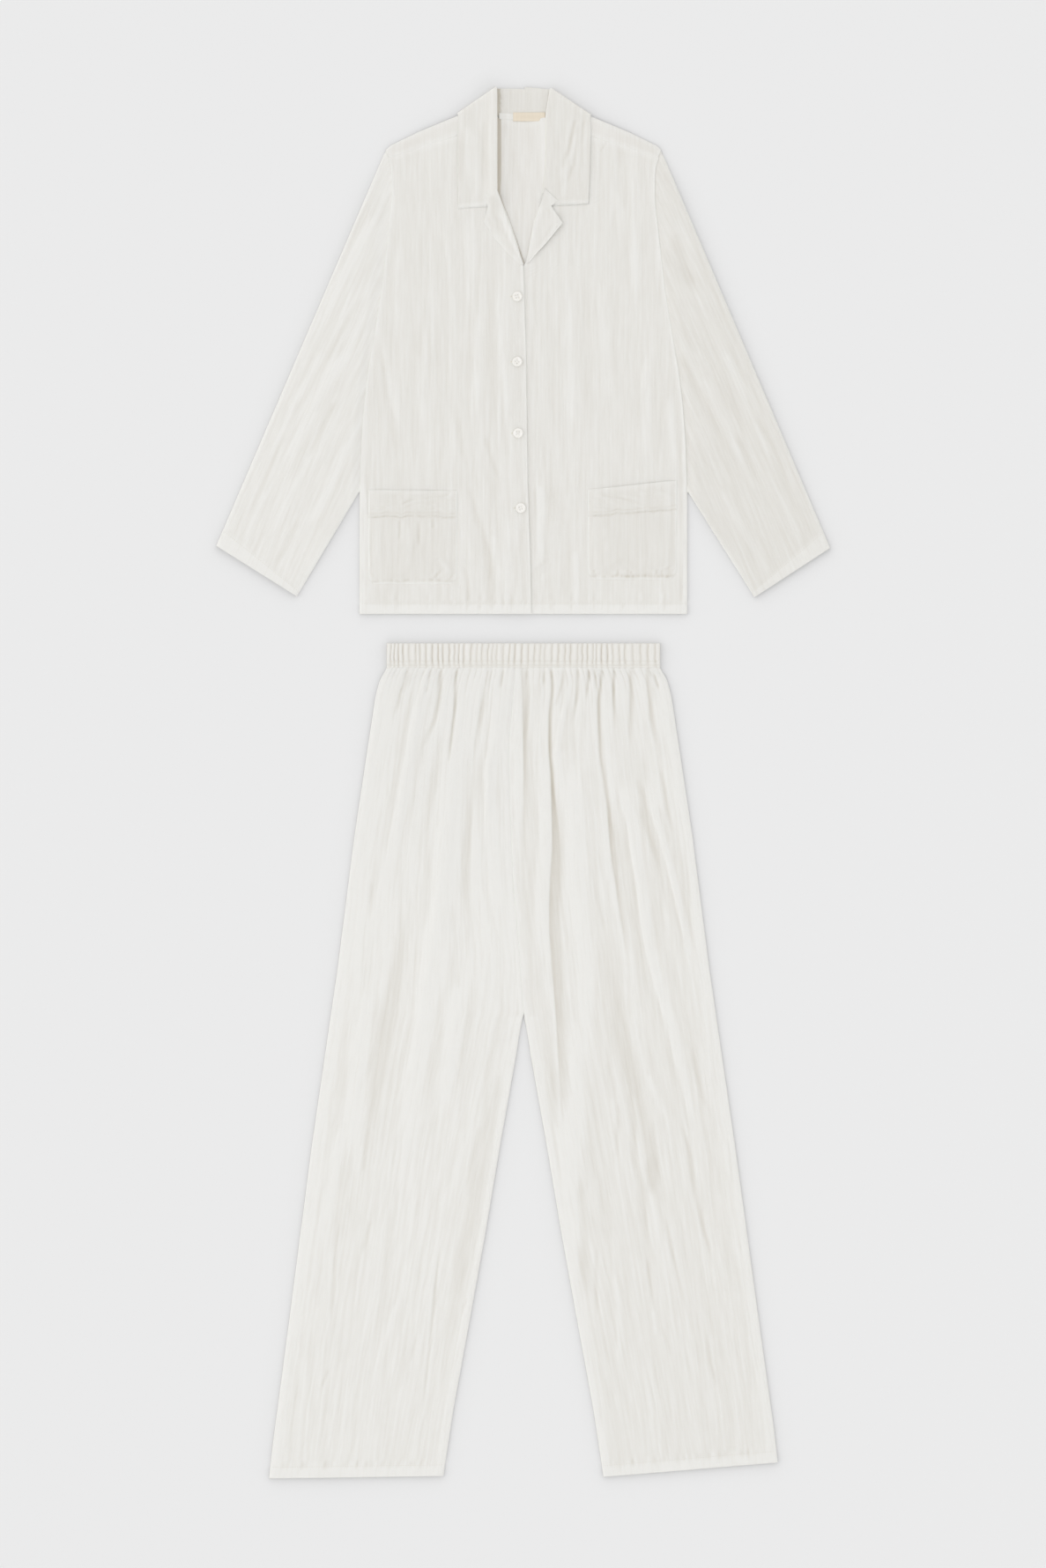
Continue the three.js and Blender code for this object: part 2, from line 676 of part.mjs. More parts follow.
// Gathered casing round an elastic; the back run is pressed flat under the front run
function waistband(name, front) {
  const steps = front ? gathers * 2 : 12;
  const rows = [
    { y: 0, fullness: 0.6, ply: 0.75 },
    { y: 6, fullness: 0.5, ply: 0.8 },
    { y: 25, fullness: 1, ply: 1 },
    { y: waistDepth, fullness: 0.7, ply: 0.6 },
  ];
  const grid = rows.map((row) => {
    const points = [];
    for (let c = 0; c <= steps; c += 1) {
      const x = between(-waistHalf, waistHalf, c / steps);
      const size = 0.75 + 0.25 * Math.sin(Math.floor(c / 2) * 2.4);
      const crest = front && c % 2 === 1;
      const wave = crest ? size * row.fullness * gatherHeight : 0;
      const ends = smooth(Math.min(c, steps - c) / (0.02 * steps));
      const under = front ? bandPly + seamGap : 0;
      const ply = bandPly * row.ply * between(0.7, 1, ends);
      points.push({ x, y: waistTop - waistDepth + row.y, under, over: under + ply + wave * ends });
    }
    return points;
  });
  return piece(name, plate(grid), gauze);
}

const jacket = new THREE.Group();
jacket.position.y = jacketAboveTrousersHem;
jacket.add(
  jacketBack(),
  jacketFront("jacket_front_left", -1),
  jacketFront("jacket_front_right", 1),
  ...sleeves.map(sleeve),
  collar(),
  lapel("lapel_left", leftLapelRows, -1),
  lapel("lapel_right", rightLapelRows, 1),
  ...pockets.map(pocket),
  ...buttons.map(button),
  neckLabel(),
);

const trousers = new THREE.Group();
trousers.add(
  leg("leg_front_left", -1, true),
  leg("leg_front_right", 1, true),
  leg("leg_back_left", -1, false),
  leg("leg_back_right", 1, false),
  waistband("waistband_front", true),
  waistband("waistband_back", false),
);

// The origin is the middle of the set's outline on the surface that it lies on
const set = new THREE.Group();
set.add(jacket, trousers);
set.updateMatrixWorld(true);
const outline = new THREE.Box3().setFromObject(set, true);
const middle = outline.getCenter(new THREE.Vector3());
set.position.set(-middle.x, -middle.y, 0);
const group = new THREE.Group();
group.add(set);

export default group;
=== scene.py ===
import math
import bpy
import numpy as np
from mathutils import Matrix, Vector
from mathutils.bvhtree import BVHTree


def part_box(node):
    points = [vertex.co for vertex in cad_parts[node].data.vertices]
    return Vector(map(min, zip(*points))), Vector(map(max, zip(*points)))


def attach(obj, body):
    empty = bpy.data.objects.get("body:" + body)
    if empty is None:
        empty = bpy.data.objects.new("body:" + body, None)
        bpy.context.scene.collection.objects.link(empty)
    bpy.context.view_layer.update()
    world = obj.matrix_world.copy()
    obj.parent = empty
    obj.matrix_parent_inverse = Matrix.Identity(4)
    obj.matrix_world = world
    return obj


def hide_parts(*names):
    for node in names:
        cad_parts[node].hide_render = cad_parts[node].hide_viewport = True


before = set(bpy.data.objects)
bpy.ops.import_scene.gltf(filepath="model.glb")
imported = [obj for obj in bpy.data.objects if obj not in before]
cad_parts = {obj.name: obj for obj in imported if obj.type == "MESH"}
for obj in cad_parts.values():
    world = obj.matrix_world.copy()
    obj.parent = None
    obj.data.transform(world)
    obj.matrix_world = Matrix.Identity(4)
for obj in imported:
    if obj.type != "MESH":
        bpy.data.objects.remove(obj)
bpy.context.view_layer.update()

# Pyjama set laid flat, the jacket above the trousers.
# Shapes are worked out in millimetres in each garment's own frame: x runs to the viewer's
# right from the middle, y up from the hem, z up from the surface. Left and right are the viewer's.
mm = 0.001
waistTop = 1042.5
backLow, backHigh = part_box("jacket_back")
bandLow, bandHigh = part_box("waistband_front")
origins = {
    "jacket": ((backLow.x + backHigh.x) / 2 / mm, backLow.y / mm),
    "trousers": ((bandLow.x + bandHigh.x) / 2 / mm, bandHigh.y / mm - waistTop),
}
scene = bpy.context.scene


# Camera, light and surface

photo = {
    "pixelsHigh": 1780,
    "mmPerPixel": 1.1,  # from the shirt buttons, 12.6 mm wide
    "distance": 6.0,
    "sensor": 36.0,
    "middleX": -0.0002,
    "middleY": -0.0015,
}

light = {
    "sky": 0.924,
    "skyColour": (0.990, 0.991, 0.994),
    "boxPower": 92.2,
    "boxSize": 6.5,
    "boxDistance": 8.0,
    "boxElevation": 32.0,
    "boxForward": 0.12,
    "boxColour": (1.0, 0.992, 0.975),
}

surface = {
    "half": 6.0,
    "leftGrey": 0.836,
    "rightGrey": 0.855,
    "topShare": 1.0005,
    "bottomShare": 1.006,
    "reachX": 0.65,
    "reachY": 0.97,
    "roughness": 0.95,
    "shadeReach": 0.028,
    "shades": ((0.95, 1.0, 0.945), (0.60, 0.95, 0.96)),  # openness from, to, darkest share
}


def addCamera():
    camera = bpy.data.objects.new("camera", bpy.data.cameras.new("camera"))
    scene.collection.objects.link(camera)
    view = camera.data
    view.sensor_width = photo["sensor"]
    height = photo["pixelsHigh"] * photo["mmPerPixel"] * mm
    view.lens = photo["sensor"] * photo["distance"] / height
    view.clip_end = 100
    camera.location = (photo["middleX"], photo["middleY"], photo["distance"])
    scene.camera = camera


def addLights():
    scene.view_settings.view_transform = "Standard"
    world = bpy.data.worlds.new("studio")
    scene.world = world
    world.use_nodes = True
    sky = world.node_tree.nodes["Background"]
    sky.inputs["Color"].default_value = (*light["skyColour"], 1)
    sky.inputs["Strength"].default_value = light["sky"]
    box = bpy.data.lights.new("softbox", "AREA")
    box.shape = "SQUARE"
    box.size = light["boxSize"]
    box.energy = light["boxPower"]
    box.color = light["boxColour"]
    lamp = bpy.data.objects.new("softbox", box)
    scene.collection.objects.link(lamp)
    rise = math.radians(light["boxElevation"])
    aim = Vector((-math.cos(rise), light["boxForward"], math.sin(rise))).normalized()  # from the left
    lamp.location = aim * light["boxDistance"]
    lamp.rotation_mode = "QUATERNION"
    lamp.rotation_quaternion = aim.to_track_quat("Z", "Y")


def addSurface():
    half = surface["half"]
    mesh = bpy.data.meshes.new("surface")
    corners = [(-half, -half, 0), (half, -half, 0), (half, half, 0), (-half, half, 0)]
    mesh.from_pydata(corners, [], [(0, 1, 2, 3)])
    floor = bpy.data.objects.new("surface", mesh)
    scene.collection.objects.link(floor)
    paper = bpy.data.materials.new("surfacePaper")
    paper.use_nodes = True
    nodes, links = paper.node_tree.nodes, paper.node_tree.links
    skin = nodes["Principled BSDF"]
    skin.inputs["Roughness"].default_value = surface["roughness"]
    skin.inputs["Specular IOR Level"].default_value = 0.2
    place = nodes.new("ShaderNodeTexCoord")
    split = nodes.new("ShaderNodeSeparateXYZ")
    shares = []
    ranges = (("X", "reachX", "leftGrey", "rightGrey"), ("Y", "reachY", "bottomShare", "topShare"))
    for axis, reach, low, high in ranges:  # evens out the softbox, which is nearer on the left
        across = nodes.new("ShaderNodeMapRange")
        across.inputs["From Min"].default_value = -surface[reach]
        across.inputs["From Max"].default_value = surface[reach]
        across.inputs["To Min"].default_value = surface[low]
        across.inputs["To Max"].default_value = surface[high]
        links.new(split.outputs[axis], across.inputs["Value"])
        shares.append(across.outputs["Result"])
    near = nodes.new("ShaderNodeAmbientOcclusion")  # soft shade close to the cloth, on every side of it
    near.samples = 16
    near.inputs["Distance"].default_value = surface["shadeReach"]
    for low, high, darkest in surface["shades"]:
        soft = nodes.new("ShaderNodeMapRange")
        soft.inputs["From Min"].default_value = low
        soft.inputs["From Max"].default_value = high
        soft.inputs["To Min"].default_value = darkest
        links.new(near.outputs["AO"], soft.inputs["Value"])
        shares.append(soft.outputs["Result"])
    whole = shares[0]
    for share in shares[1:]:
        product = nodes.new("ShaderNodeMath")
        product.operation = "MULTIPLY"
        links.new(whole, product.inputs[0])
        links.new(share, product.inputs[1])
        whole = product.outputs[0]
    grey = nodes.new("ShaderNodeCombineColor")
    links.new(place.outputs["Object"], split.inputs[0])
    for channel in ("Red", "Green", "Blue"):
        links.new(whole, grey.inputs[channel])
    links.new(grey.outputs["Color"], skin.inputs["Base Color"])
    mesh.materials.append(paper)


addCamera()
addLights()
addSurface()
print("camera, light and surface ready")


# Number tools for relief

def smooth(value):
    t = np.clip(value, 0, 1)
    return t * t * (3 - 2 * t)


def along(rows, at, soften=0):  # value in a table of (place, value) rows, corners softened
    places, values = zip(*rows)
    if not soften:
        return np.interp(at, places, values)
    shifts = np.linspace(-soften, soften, 9)
    return sum(np.interp(at + shift, places, values) for shift in shifts) / len(shifts)


def noise(u, v, seed):  # smooth value noise on a unit lattice, -1 to 1
    cellU, cellV = np.floor(u), np.floor(v)
    partU, partV = smooth(u - cellU), smooth(v - cellV)

    def corner(i, j):
        wave = np.sin((cellU + i) * 127.1 + (cellV + j) * 311.7 + seed * 74.7) * 43758.5453
        return 2 * (wave - np.floor(wave)) - 1

    low = corner(0, 0) * (1 - partU) + corner(1, 0) * partU
    high = corner(0, 1) * (1 - partU) + corner(1, 1) * partU
    return low * (1 - partV) + high * partV


crinkleBands = (  # width across the grain, length along it, height, share of sharp ridges
    (42, 330, 0.50, 0.0),
    (17, 220, 0.26, 0.2),
    (8.0, 130, 0.20, 0.4),
    (4.4, 80, 0.16, 0.5),
)


def crinkle(u, v, seed):  # fine creases of the gauze, which run along the grain v
    wander = 5 * noise(u / 70, v / 110, seed + 9) + 2 * noise(u / 30, v / 45, seed + 10)
    total = np.zeros_like(u)
    for number, (wide, long, height, sharp) in enumerate(crinkleBands):
        wave = noise((u + wander) / wide, v / long + number * 3.7, seed + number)
        ridge = 1 - 2 * np.abs(noise((u + wander) / wide + 7.3, v / long, seed + number + 20))
        total += height * ((1 - sharp) * wave + sharp * ridge)
    return total


def curve(points, steps):  # smooth curve through the points of a crease
    p = np.array([points[0], *points, points[-1]], float)
    made = []
    for a, b, c, d in zip(p, p[1:], p[2:], p[3:]):
        for t in np.linspace(0, 1, steps, endpoint=False):
            made.append(0.5 * (2 * b + (c - a) * t + (2 * a - 5 * b + 4 * c - d) * t**2
                               + (3 * b - a - 3 * c + d) * t**3))
    made.append(p[-1])
    return made


def crease(x, y, path, height, leftWidth, rightWidth, startFade=0.2, endFade=0.35):
    # A ridge, or a trough where height is negative, along a path drawn downwards or rightwards.
    # leftWidth is also the width below a path that runs across, rightWidth the one above it.
    line = curve(path, 5)
    count = len(line) - 1
    nearest, side, place = np.full(x.shape, 1e9), np.zeros_like(x), np.zeros_like(x)
    for number in range(count):
        (ax, ay), (bx, by) = line[number], line[number + 1]
        dx, dy = bx - ax, by - ay
        t = np.clip(((x - ax) * dx + (y - ay) * dy) / (dx * dx + dy * dy), 0, 1)
        offX, offY = x - ax - t * dx, y - ay - t * dy
        distance = np.hypot(offX, offY)
        closer = distance < nearest
        nearest = np.where(closer, distance, nearest)
        side = np.where(closer, dx * offY - dy * offX, side)
        place = np.where(closer, (number + t) / count, place)
    width = np.where(side > 0, rightWidth, leftWidth)
    fade = smooth((place + 0.01) / (startFade + 0.01)) * smooth((1.01 - place) / (endFade + 0.01))
    uneven = 1 + 0.3 * lineNoise(place * 5, len(path) + abs(path[0][0]) * 0.37)
    return height * fade * uneven * bell(nearest, width)


def creases(x, y, table):
    return sum((crease(x, y, *row) for row in table), np.zeros_like(x))


def meanAcross(height, reach):  # running mean over the columns
    padded = np.pad(height, ((0, 0), (reach, reach)), mode="edge")
    width = 2 * reach + 1
    return sum(padded[:, k:k + height.shape[1]] for k in range(width)) / width


# Painted shade: hollows of the relief painted darker and crests lighter, from the height against its running
# mean
hollowShade = {"level": 0.16, "near": 1 / 2.4, "broad": 0.17, "reach": 4, "broadReach": 15}


def paintedShadeOf(height, broadShare=1.0, reach=hollowShade["reach"]):  # painted shade, 0 on a crest to 1 in a hollow
    near = (meanAcross(height, reach) - height) * hollowShade["near"]
    broad = (meanAcross(height, hollowShade["broadReach"]) - height) * hollowShade["broad"] * broadShare
    return np.clip(hollowShade["level"] + near + broad, 0, 1)


def spread(count, size, edge=(0.35, 0.9)):  # even shares with a few more close to both edges
    close = [0.0, *(e / size for e in edge)]
    return np.array([*close, *np.linspace(0, 1, count)[1:-1], *(1 - c for c in reversed(close))])


def rounded(distance, radius):  # 0 at an edge to 1 from the radius inwards, as a quarter circle
    t = 1 - np.clip(distance / radius, 0, 1)
    return np.sqrt(np.clip(1 - t * t, 0, 1))


def bell(distance, width):
    return np.exp(-((distance / width) ** 2))


def lineNoise(place, seed):  # noise along one line
    return noise(place, np.zeros_like(place), seed)


def fromEdges(s, width, r, length):  # distance to the nearest side of a panel with shares s and r
    return np.minimum(np.minimum(s, 1 - s) * width, np.minimum(r, 1 - r) * length)


def hemFold(fromHem, hem, depth, fullness=1.0, wrinkle=1.0):  # turned hem and the groove of its seam
    return 0.5 * smooth(hem - fromHem) * fullness - depth * bell(fromHem - hem - 0.6, 1.0) * wrinkle


# Mesh tools

def newShape(garment):
    return {"garment": garment, "points": [], "faces": [], "grain": [], "paintedShade": [], "count": 0, "area": 0.0}


def addGrid(shape, x, y, z, u, v, paintedShade):
    start = shape["count"]
    shape["points"].append(np.stack([x, y, z], -1).reshape(-1, 3))
    shape["grain"].append(np.stack([u, v, np.zeros_like(u)], -1).reshape(-1, 3))
    shape["paintedShade"].append(np.broadcast_to(paintedShade, x.shape).reshape(-1))
    shape["count"] += x.size
    return start + np.arange(x.size).reshape(x.shape)


def quads(shape, a, b, c, d):
    shape["faces"].append(np.stack([a, b, c, d], -1).reshape(-1, 4))


def gridQuads(shape, index, flip):
    a, b, c, d = index[:-1, :-1], index[:-1, 1:], index[1:, 1:], index[1:, :-1]
    if flip:
        quads(shape, a, d, c, b)
    else:
        quads(shape, a, b, c, d)


def planArea(x, y):
    riseX, riseY = x[1:, 1:] - x[:-1, :-1], y[1:, 1:] - y[:-1, :-1]
    fallX, fallY = x[1:, :-1] - x[:-1, 1:], y[1:, :-1] - y[:-1, 1:]
    return float(np.abs(riseX * fallY - fallX * riseY).sum() / 2)


def addWall(shape, upper, lower, u, v, paintedShade):  # closed wall; rows go up, columns to the right
    top = addGrid(shape, *upper, u, v, paintedShade)
    under = addGrid(shape, *lower, u, v, paintedShade * 0)
    gridQuads(shape, top, False)
    gridQuads(shape, under, True)
    rim = np.concatenate([top[0, :], top[1:, -1], top[-1, -2::-1], top[-2:0:-1, 0]])
    low = np.concatenate([under[0, :], under[1:, -1], under[-1, -2::-1], under[-2:0:-1, 0]])
    quads(shape, low, np.roll(low, -1), np.roll(rim, -1), rim)
    shape["area"] += planArea(upper[0], upper[1])


def insideOf(edgeDistance):  # the painted hollow shade fades out towards an edge, whose turn isn't a hollow
    return 0.2 + 0.8 * smooth(edgeDistance / 8)


def addPanel(shape, x, y, middle, thick, edge, edgeRadius=0.9, paintedLight=0, broadShare=1.0, u=None):
    # Cloth lying flat, rounded towards its edges. u is the place across the grain where x isn't.
    half = thick / 2 * (0.1 + 0.9 * rounded(edge, edgeRadius))
    # Painted shade from the relief, then a painted light offset: lighter above zero, darker below it
    paintedShade = np.clip(paintedShadeOf(middle, broadShare) * insideOf(edge) - paintedLight, 0, 1)
    addWall(shape, (x, y, middle + half), (x, y, middle - half), x if u is None else u, y, paintedShade)


def toMetres(shape):
    originX, originY = origins[shape["garment"]]
    points = np.concatenate(shape["points"])
    return (points + np.array([originX, originY, 0])) * mm


def finishPiece(name, shape, material, replaced=()):
    points = toMetres(shape)
    faces = np.concatenate(shape["faces"])
    mesh = bpy.data.meshes.new(name)
    mesh.vertices.add(len(points))
    mesh.vertices.foreach_set("co", points.ravel())
    mesh.loops.add(faces.size)
    mesh.loops.foreach_set("vertex_index", faces.ravel())
    mesh.polygons.add(len(faces))
    mesh.polygons.foreach_set("loop_start", np.arange(0, faces.size, 4))
    mesh.polygons.foreach_set("loop_total", np.full(len(faces), 4))
    mesh.polygons.foreach_set("use_smooth", np.ones(len(faces), bool))
    mesh.update(calc_edges=True)
    mesh.validate()
    grain = mesh.attributes.new("grain", "FLOAT_VECTOR", "POINT")
    grain.data.foreach_set("vector", (np.concatenate(shape["grain"]) * mm).ravel())
    # painted shade and painted light for the colour, one value per point
    paintedShade = mesh.attributes.new("paintedShade", "FLOAT", "POINT")
    paintedShade.data.foreach_set("value", np.concatenate(shape["paintedShade"]).astype(float))
    mesh.materials.append(material)
    piece = bpy.data.objects.new(name, mesh)
    scene.collection.objects.link(piece)
    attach(piece, "root")
    if replaced:
        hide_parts(*replaced)
    return piece


sideNames = {-1: "Left", 1: "Right"}


def finishSide(name, node, side, shape, material=None):  # one of a left and right pair
    word = sideNames[side]
    return finishPiece(name + word, shape, material or gauzeOutside, [f"{node}_{word.lower()}"])


def fixFacing(shape):  # turns a closed shape's faces outwards
    points, faces = np.concatenate(shape["points"]), np.concatenate(shape["faces"])
    a, b, c, d = (points[faces[:, k]] for k in range(4))
    volume = np.einsum("ij,ij->i", a, np.cross(b, c)).sum() + np.einsum("ij,ij->i", a, np.cross(c, d)).sum()
    if volume < 0:
        shape["faces"] = [faces[:, ::-1]]


def topOf(*shapes):  # height of the pieces' upper side at a place in the garment, in millimetres
    trees = []
    for shape in shapes:
        points = np.concatenate(shape["points"])
        faces = np.concatenate(shape["faces"])
        trees.append(BVHTree.FromPolygons([Vector(p) for p in points], faces.tolist()))

    def height(x, y):
        hits = [tree.ray_cast(Vector((x, y, 60)), Vector((0, 0, -1)))[0] for tree in trees]
        return max((hit.z for hit in hits if hit), default=0.0)

    return height


def addStitch(shape, ax, ay, bx, by, z, thread):  # one bead of thread
    size = math.hypot(bx - ax, by - ay) or 1.0
    sideX, sideY = -(by - ay) / size * thread / 2, (bx - ax) / size * thread / 2
    rows = []
    for part, girth, sink in ((0.0, 0.4, -0.2), (0.25, 1.0, 0.06), (0.75, 1.0, 0.06), (1.0, 0.4, -0.2)):
        midX, midY = ax + (bx - ax) * part, ay + (by - ay) * part
        turns = ((girth, 0.2), (0, 0.2 + 0.5 * girth), (-girth, 0.2), (0, 0.2 - 0.5 * girth))
        rows.append([(midX + sideX * g, midY + sideY * g, z + sink + thread * h) for g, h in turns])
    first = shape["count"]
    shape["points"].append(np.array(rows).reshape(-1, 3))
    shape["grain"].append(np.zeros((16, 3)))
    shape["paintedShade"].append(np.zeros(16))
    shape["count"] += 16
    faces = [(first + 3, first + 2, first + 1, first), (first + 12, first + 13, first + 14, first + 15)]
    for r in range(3):
        for k in range(4):
            a, b = first + r * 4 + k, first + r * 4 + (k + 1) % 4
            faces.append((a, b, b + 4, a + 4))
    shape["faces"].append(np.array(faces))


def addStitches(shape, path, height, pitch=3.0, length=2.1, thread=0.42):  # beads of thread along a line
    line = np.array(path, float)
    steps = np.hypot(*np.diff(line, axis=0).T)
    places = np.concatenate([[0], np.cumsum(steps)])
    for start in np.arange(pitch * 0.3, places[-1] - length, pitch):
        ends = [[np.interp(start + part, places, line[:, k]) for k in (0, 1)] for part in (0, length)]
        (ax, ay), (bx, by) = ends
        addStitch(shape, ax, ay, bx, by, height((ax + bx) / 2, (ay + by) / 2), thread)


# Materials

def newMaterial(name):
    material = bpy.data.materials.new(name)
    material.use_nodes = True
    tree = material.node_tree
    return material, tree.nodes, tree.links, tree.nodes["Principled BSDF"]


weaveLook = {"Crinkle Width": 0.0036, "Crinkle Length": 0.060, "Thread Pitch": 0.0008, "Weave": 0.2}


def gauzeGroup():  # crinkle and weave of the gauze: a height for the bump, and painted shade for the colour that follows the narrow crinkles
    group = bpy.data.node_groups.new("gauzeWeave", "ShaderNodeTree")
    face = group.interface
    face.new_socket("Grain", in_out="INPUT", socket_type="NodeSocketVector")
    for name, value in weaveLook.items():
        socket = face.new_socket(name, in_out="INPUT", socket_type="NodeSocketFloat")
        socket.default_value = value
    face.new_socket("Height", in_out="OUTPUT", socket_type="NodeSocketFloat")
    face.new_socket("Crinkle Shade", in_out="OUTPUT", socket_type="NodeSocketFloat")
    nodes, links = group.nodes, group.links
    given, made = nodes.new("NodeGroupInput"), nodes.new("NodeGroupOutput")

    def worked(operation, a, b):
        node = nodes.new("ShaderNodeMath")
        node.operation = operation
        for socket, value in zip(node.inputs, (a, b)):
            if isinstance(value, (int, float)):
                socket.default_value = value
            else:
                links.new(value, socket)
        return node.outputs[0]

    split = nodes.new("ShaderNodeSeparateXYZ")
    links.new(given.outputs["Grain"], split.inputs[0])
    across, lengthwise = split.outputs["X"], split.outputs["Y"]
    streaks = []
    for scale, detail in ((1.0, 3.0), (3.4, 2.0)):  # narrow creases, then broad slubs
        stretched = nodes.new("ShaderNodeCombineXYZ")
        for number, (way, size) in enumerate(((across, "Crinkle Width"), (lengthwise, "Crinkle Length"))):
            period = worked("MULTIPLY", given.outputs[size], scale)
            links.new(worked("DIVIDE", way, period), stretched.inputs[number])
        texture = nodes.new("ShaderNodeTexNoise")
        texture.inputs["Scale"].default_value = 1.0
        texture.inputs["Detail"].default_value = detail
        texture.inputs["Roughness"].default_value = 0.6
        links.new(stretched.outputs[0], texture.inputs["Vector"])
        streaks.append(texture.outputs["Fac"])
    threads = []
    for direction in (across, lengthwise):
        turns = worked("MULTIPLY", worked("DIVIDE", direction, given.outputs["Thread Pitch"]), 2 * math.pi)
        threads.append(worked("SINE", turns, 0.0))
    weave = worked("MULTIPLY", worked("MULTIPLY", *threads), given.outputs["Weave"])
    crinkled = worked("ADD", streaks[0], worked("MULTIPLY", streaks[1], 0.8))
    links.new(worked("ADD", crinkled, weave), made.inputs["Height"])
    # painted shade: the narrow crinkles' troughs darker, their crests lighter
    links.new(streaks[0], made.inputs["Crinkle Shade"])
    return group


clothLooks = {  # the cloth's own colour, and the painted shade colour for hollows
    "outside": {
        "cloth": (0.970, 0.962, 0.926), "shade": (0.690, 0.645, 0.560), "roughness": 0.92, "bump": 0.0009,
    },
    "inside": {
        "cloth": (0.955, 0.946, 0.914), "shade": (0.680, 0.630, 0.548), "roughness": 0.94, "bump": 0.00075,
    },
    "band": {
        "cloth": (0.898, 0.886, 0.848), "shade": (0.640, 0.595, 0.520), "roughness": 0.92, "bump": 0.00045,
    },
    "label": {
        "cloth": (0.832, 0.745, 0.615), "shade": (0.600, 0.520, 0.400), "roughness": 0.80, "bump": 0.0001,
    },
}


def clothMaterial(name, look, group):
    material, nodes, links, skin = newMaterial(name)
    skin.inputs["Roughness"].default_value = look["roughness"]
    skin.inputs["Specular IOR Level"].default_value = 0.25
    skin.inputs["Sheen Weight"].default_value = 0.02
    skin.inputs["Sheen Roughness"].default_value = 0.6
    grain, paintedShade = nodes.new("ShaderNodeAttribute"), nodes.new("ShaderNodeAttribute")
    grain.attribute_name, paintedShade.attribute_name = "grain", "paintedShade"
    weave = nodes.new("ShaderNodeGroup")
    weave.node_tree = group
    links.new(grain.outputs["Vector"], weave.inputs["Grain"])
    crinkleShade = nodes.new("ShaderNodeMapRange")
    for socket, value in zip(("From Min", "From Max", "To Min", "To Max"), (0.3, 0.7, 0.1, -0.1)):
        crinkleShade.inputs[socket].default_value = value
    links.new(weave.outputs["Crinkle Shade"], crinkleShade.inputs["Value"])
    paintedShadeFactor = nodes.new("ShaderNodeMath")  # painted shade: hollows between creases and crinkle troughs are painted warmer and darker
    paintedShadeFactor.use_clamp = True
    links.new(crinkleShade.outputs["Result"], paintedShadeFactor.inputs[0])
    links.new(paintedShade.outputs["Fac"], paintedShadeFactor.inputs[1])
    mix = nodes.new("ShaderNodeMix")
    mix.data_type = "RGBA"
    mix.inputs["A"].default_value = (*look["cloth"], 1)
    mix.inputs["B"].default_value = (*look["shade"], 1)
    links.new(paintedShadeFactor.outputs[0], mix.inputs["Factor"])
    links.new(mix.outputs["Result"], skin.inputs["Base Color"])
    bump = nodes.new("ShaderNodeBump")
    bump.inputs["Strength"].default_value = 0.7
    bump.inputs["Distance"].default_value = look["bump"]
    links.new(weave.outputs["Height"], bump.inputs["Height"])
    links.new(bump.outputs["Normal"], skin.inputs["Normal"])
    return material


def cloudColour(nodes, links, skin, cloud, ends):  # noise between two colours at two places of a ramp
    place = nodes.new("ShaderNodeTexCoord")
    texture = nodes.new("ShaderNodeTexNoise")
    for socket, value in cloud.items():
        texture.inputs[socket].default_value = value
    ramp = nodes.new("ShaderNodeValToRGB")
    for element, (position, colour) in zip(ramp.color_ramp.elements, ends):
        element.position, element.color = position, (*colour, 1)
    links.new(place.outputs["Object"], texture.inputs["Vector"])
    links.new(texture.outputs["Fac"], ramp.inputs["Fac"])
    links.new(ramp.outputs["Color"], skin.inputs["Base Color"])


def pearlMaterial():
    material, nodes, links, skin = newMaterial("pearlButton")
    skin.inputs["Roughness"].default_value = 0.28
    skin.inputs["Coat Weight"].default_value = 0.6
    skin.inputs["Coat Roughness"].default_value = 0.12
    ends = ((0.35, (0.880, 0.855, 0.796)), (0.68, (0.970, 0.958, 0.930)))
    cloudColour(nodes, links, skin, {"Scale": 260, "Detail": 3, "Distortion": 1.2}, ends)
    return material


def threadMaterial():
    material, nodes, links, skin = newMaterial("sewingThread")
    skin.inputs["Roughness"].default_value = 0.75
    cloudColour(nodes, links, skin, {"Scale": 900}, ((0, (0.83, 0.80, 0.72)), (1, (0.90, 0.88, 0.82))))
    return material


weaveGroup = gauzeGroup()
gauzeOutside = clothMaterial("gauzeOutside", clothLooks["outside"], weaveGroup)
gauzeInside = clothMaterial("gauzeInside", clothLooks["inside"], weaveGroup)
gauzeBand = clothMaterial("gauzeBand", clothLooks["band"], weaveGroup)
labelTape = clothMaterial("labelTape", clothLooks["label"], weaveGroup)
pearl = pearlMaterial()
thread = threadMaterial()
print("materials ready")


# Jacket: shapes that several pieces share

jacket = {
    "bodyHalf": 204.6,
    "sideSeamTop": 153.0,
    "shoulderX": 172.0,
    "shoulderY": 579.5,
    "hem": 14.0,
    "cloth": 1.0,
    "backMiddle": 0.6,
    "frontMiddle": 2.15,
    "overlap": 1.3,
    "frontTop": 601.0,
}

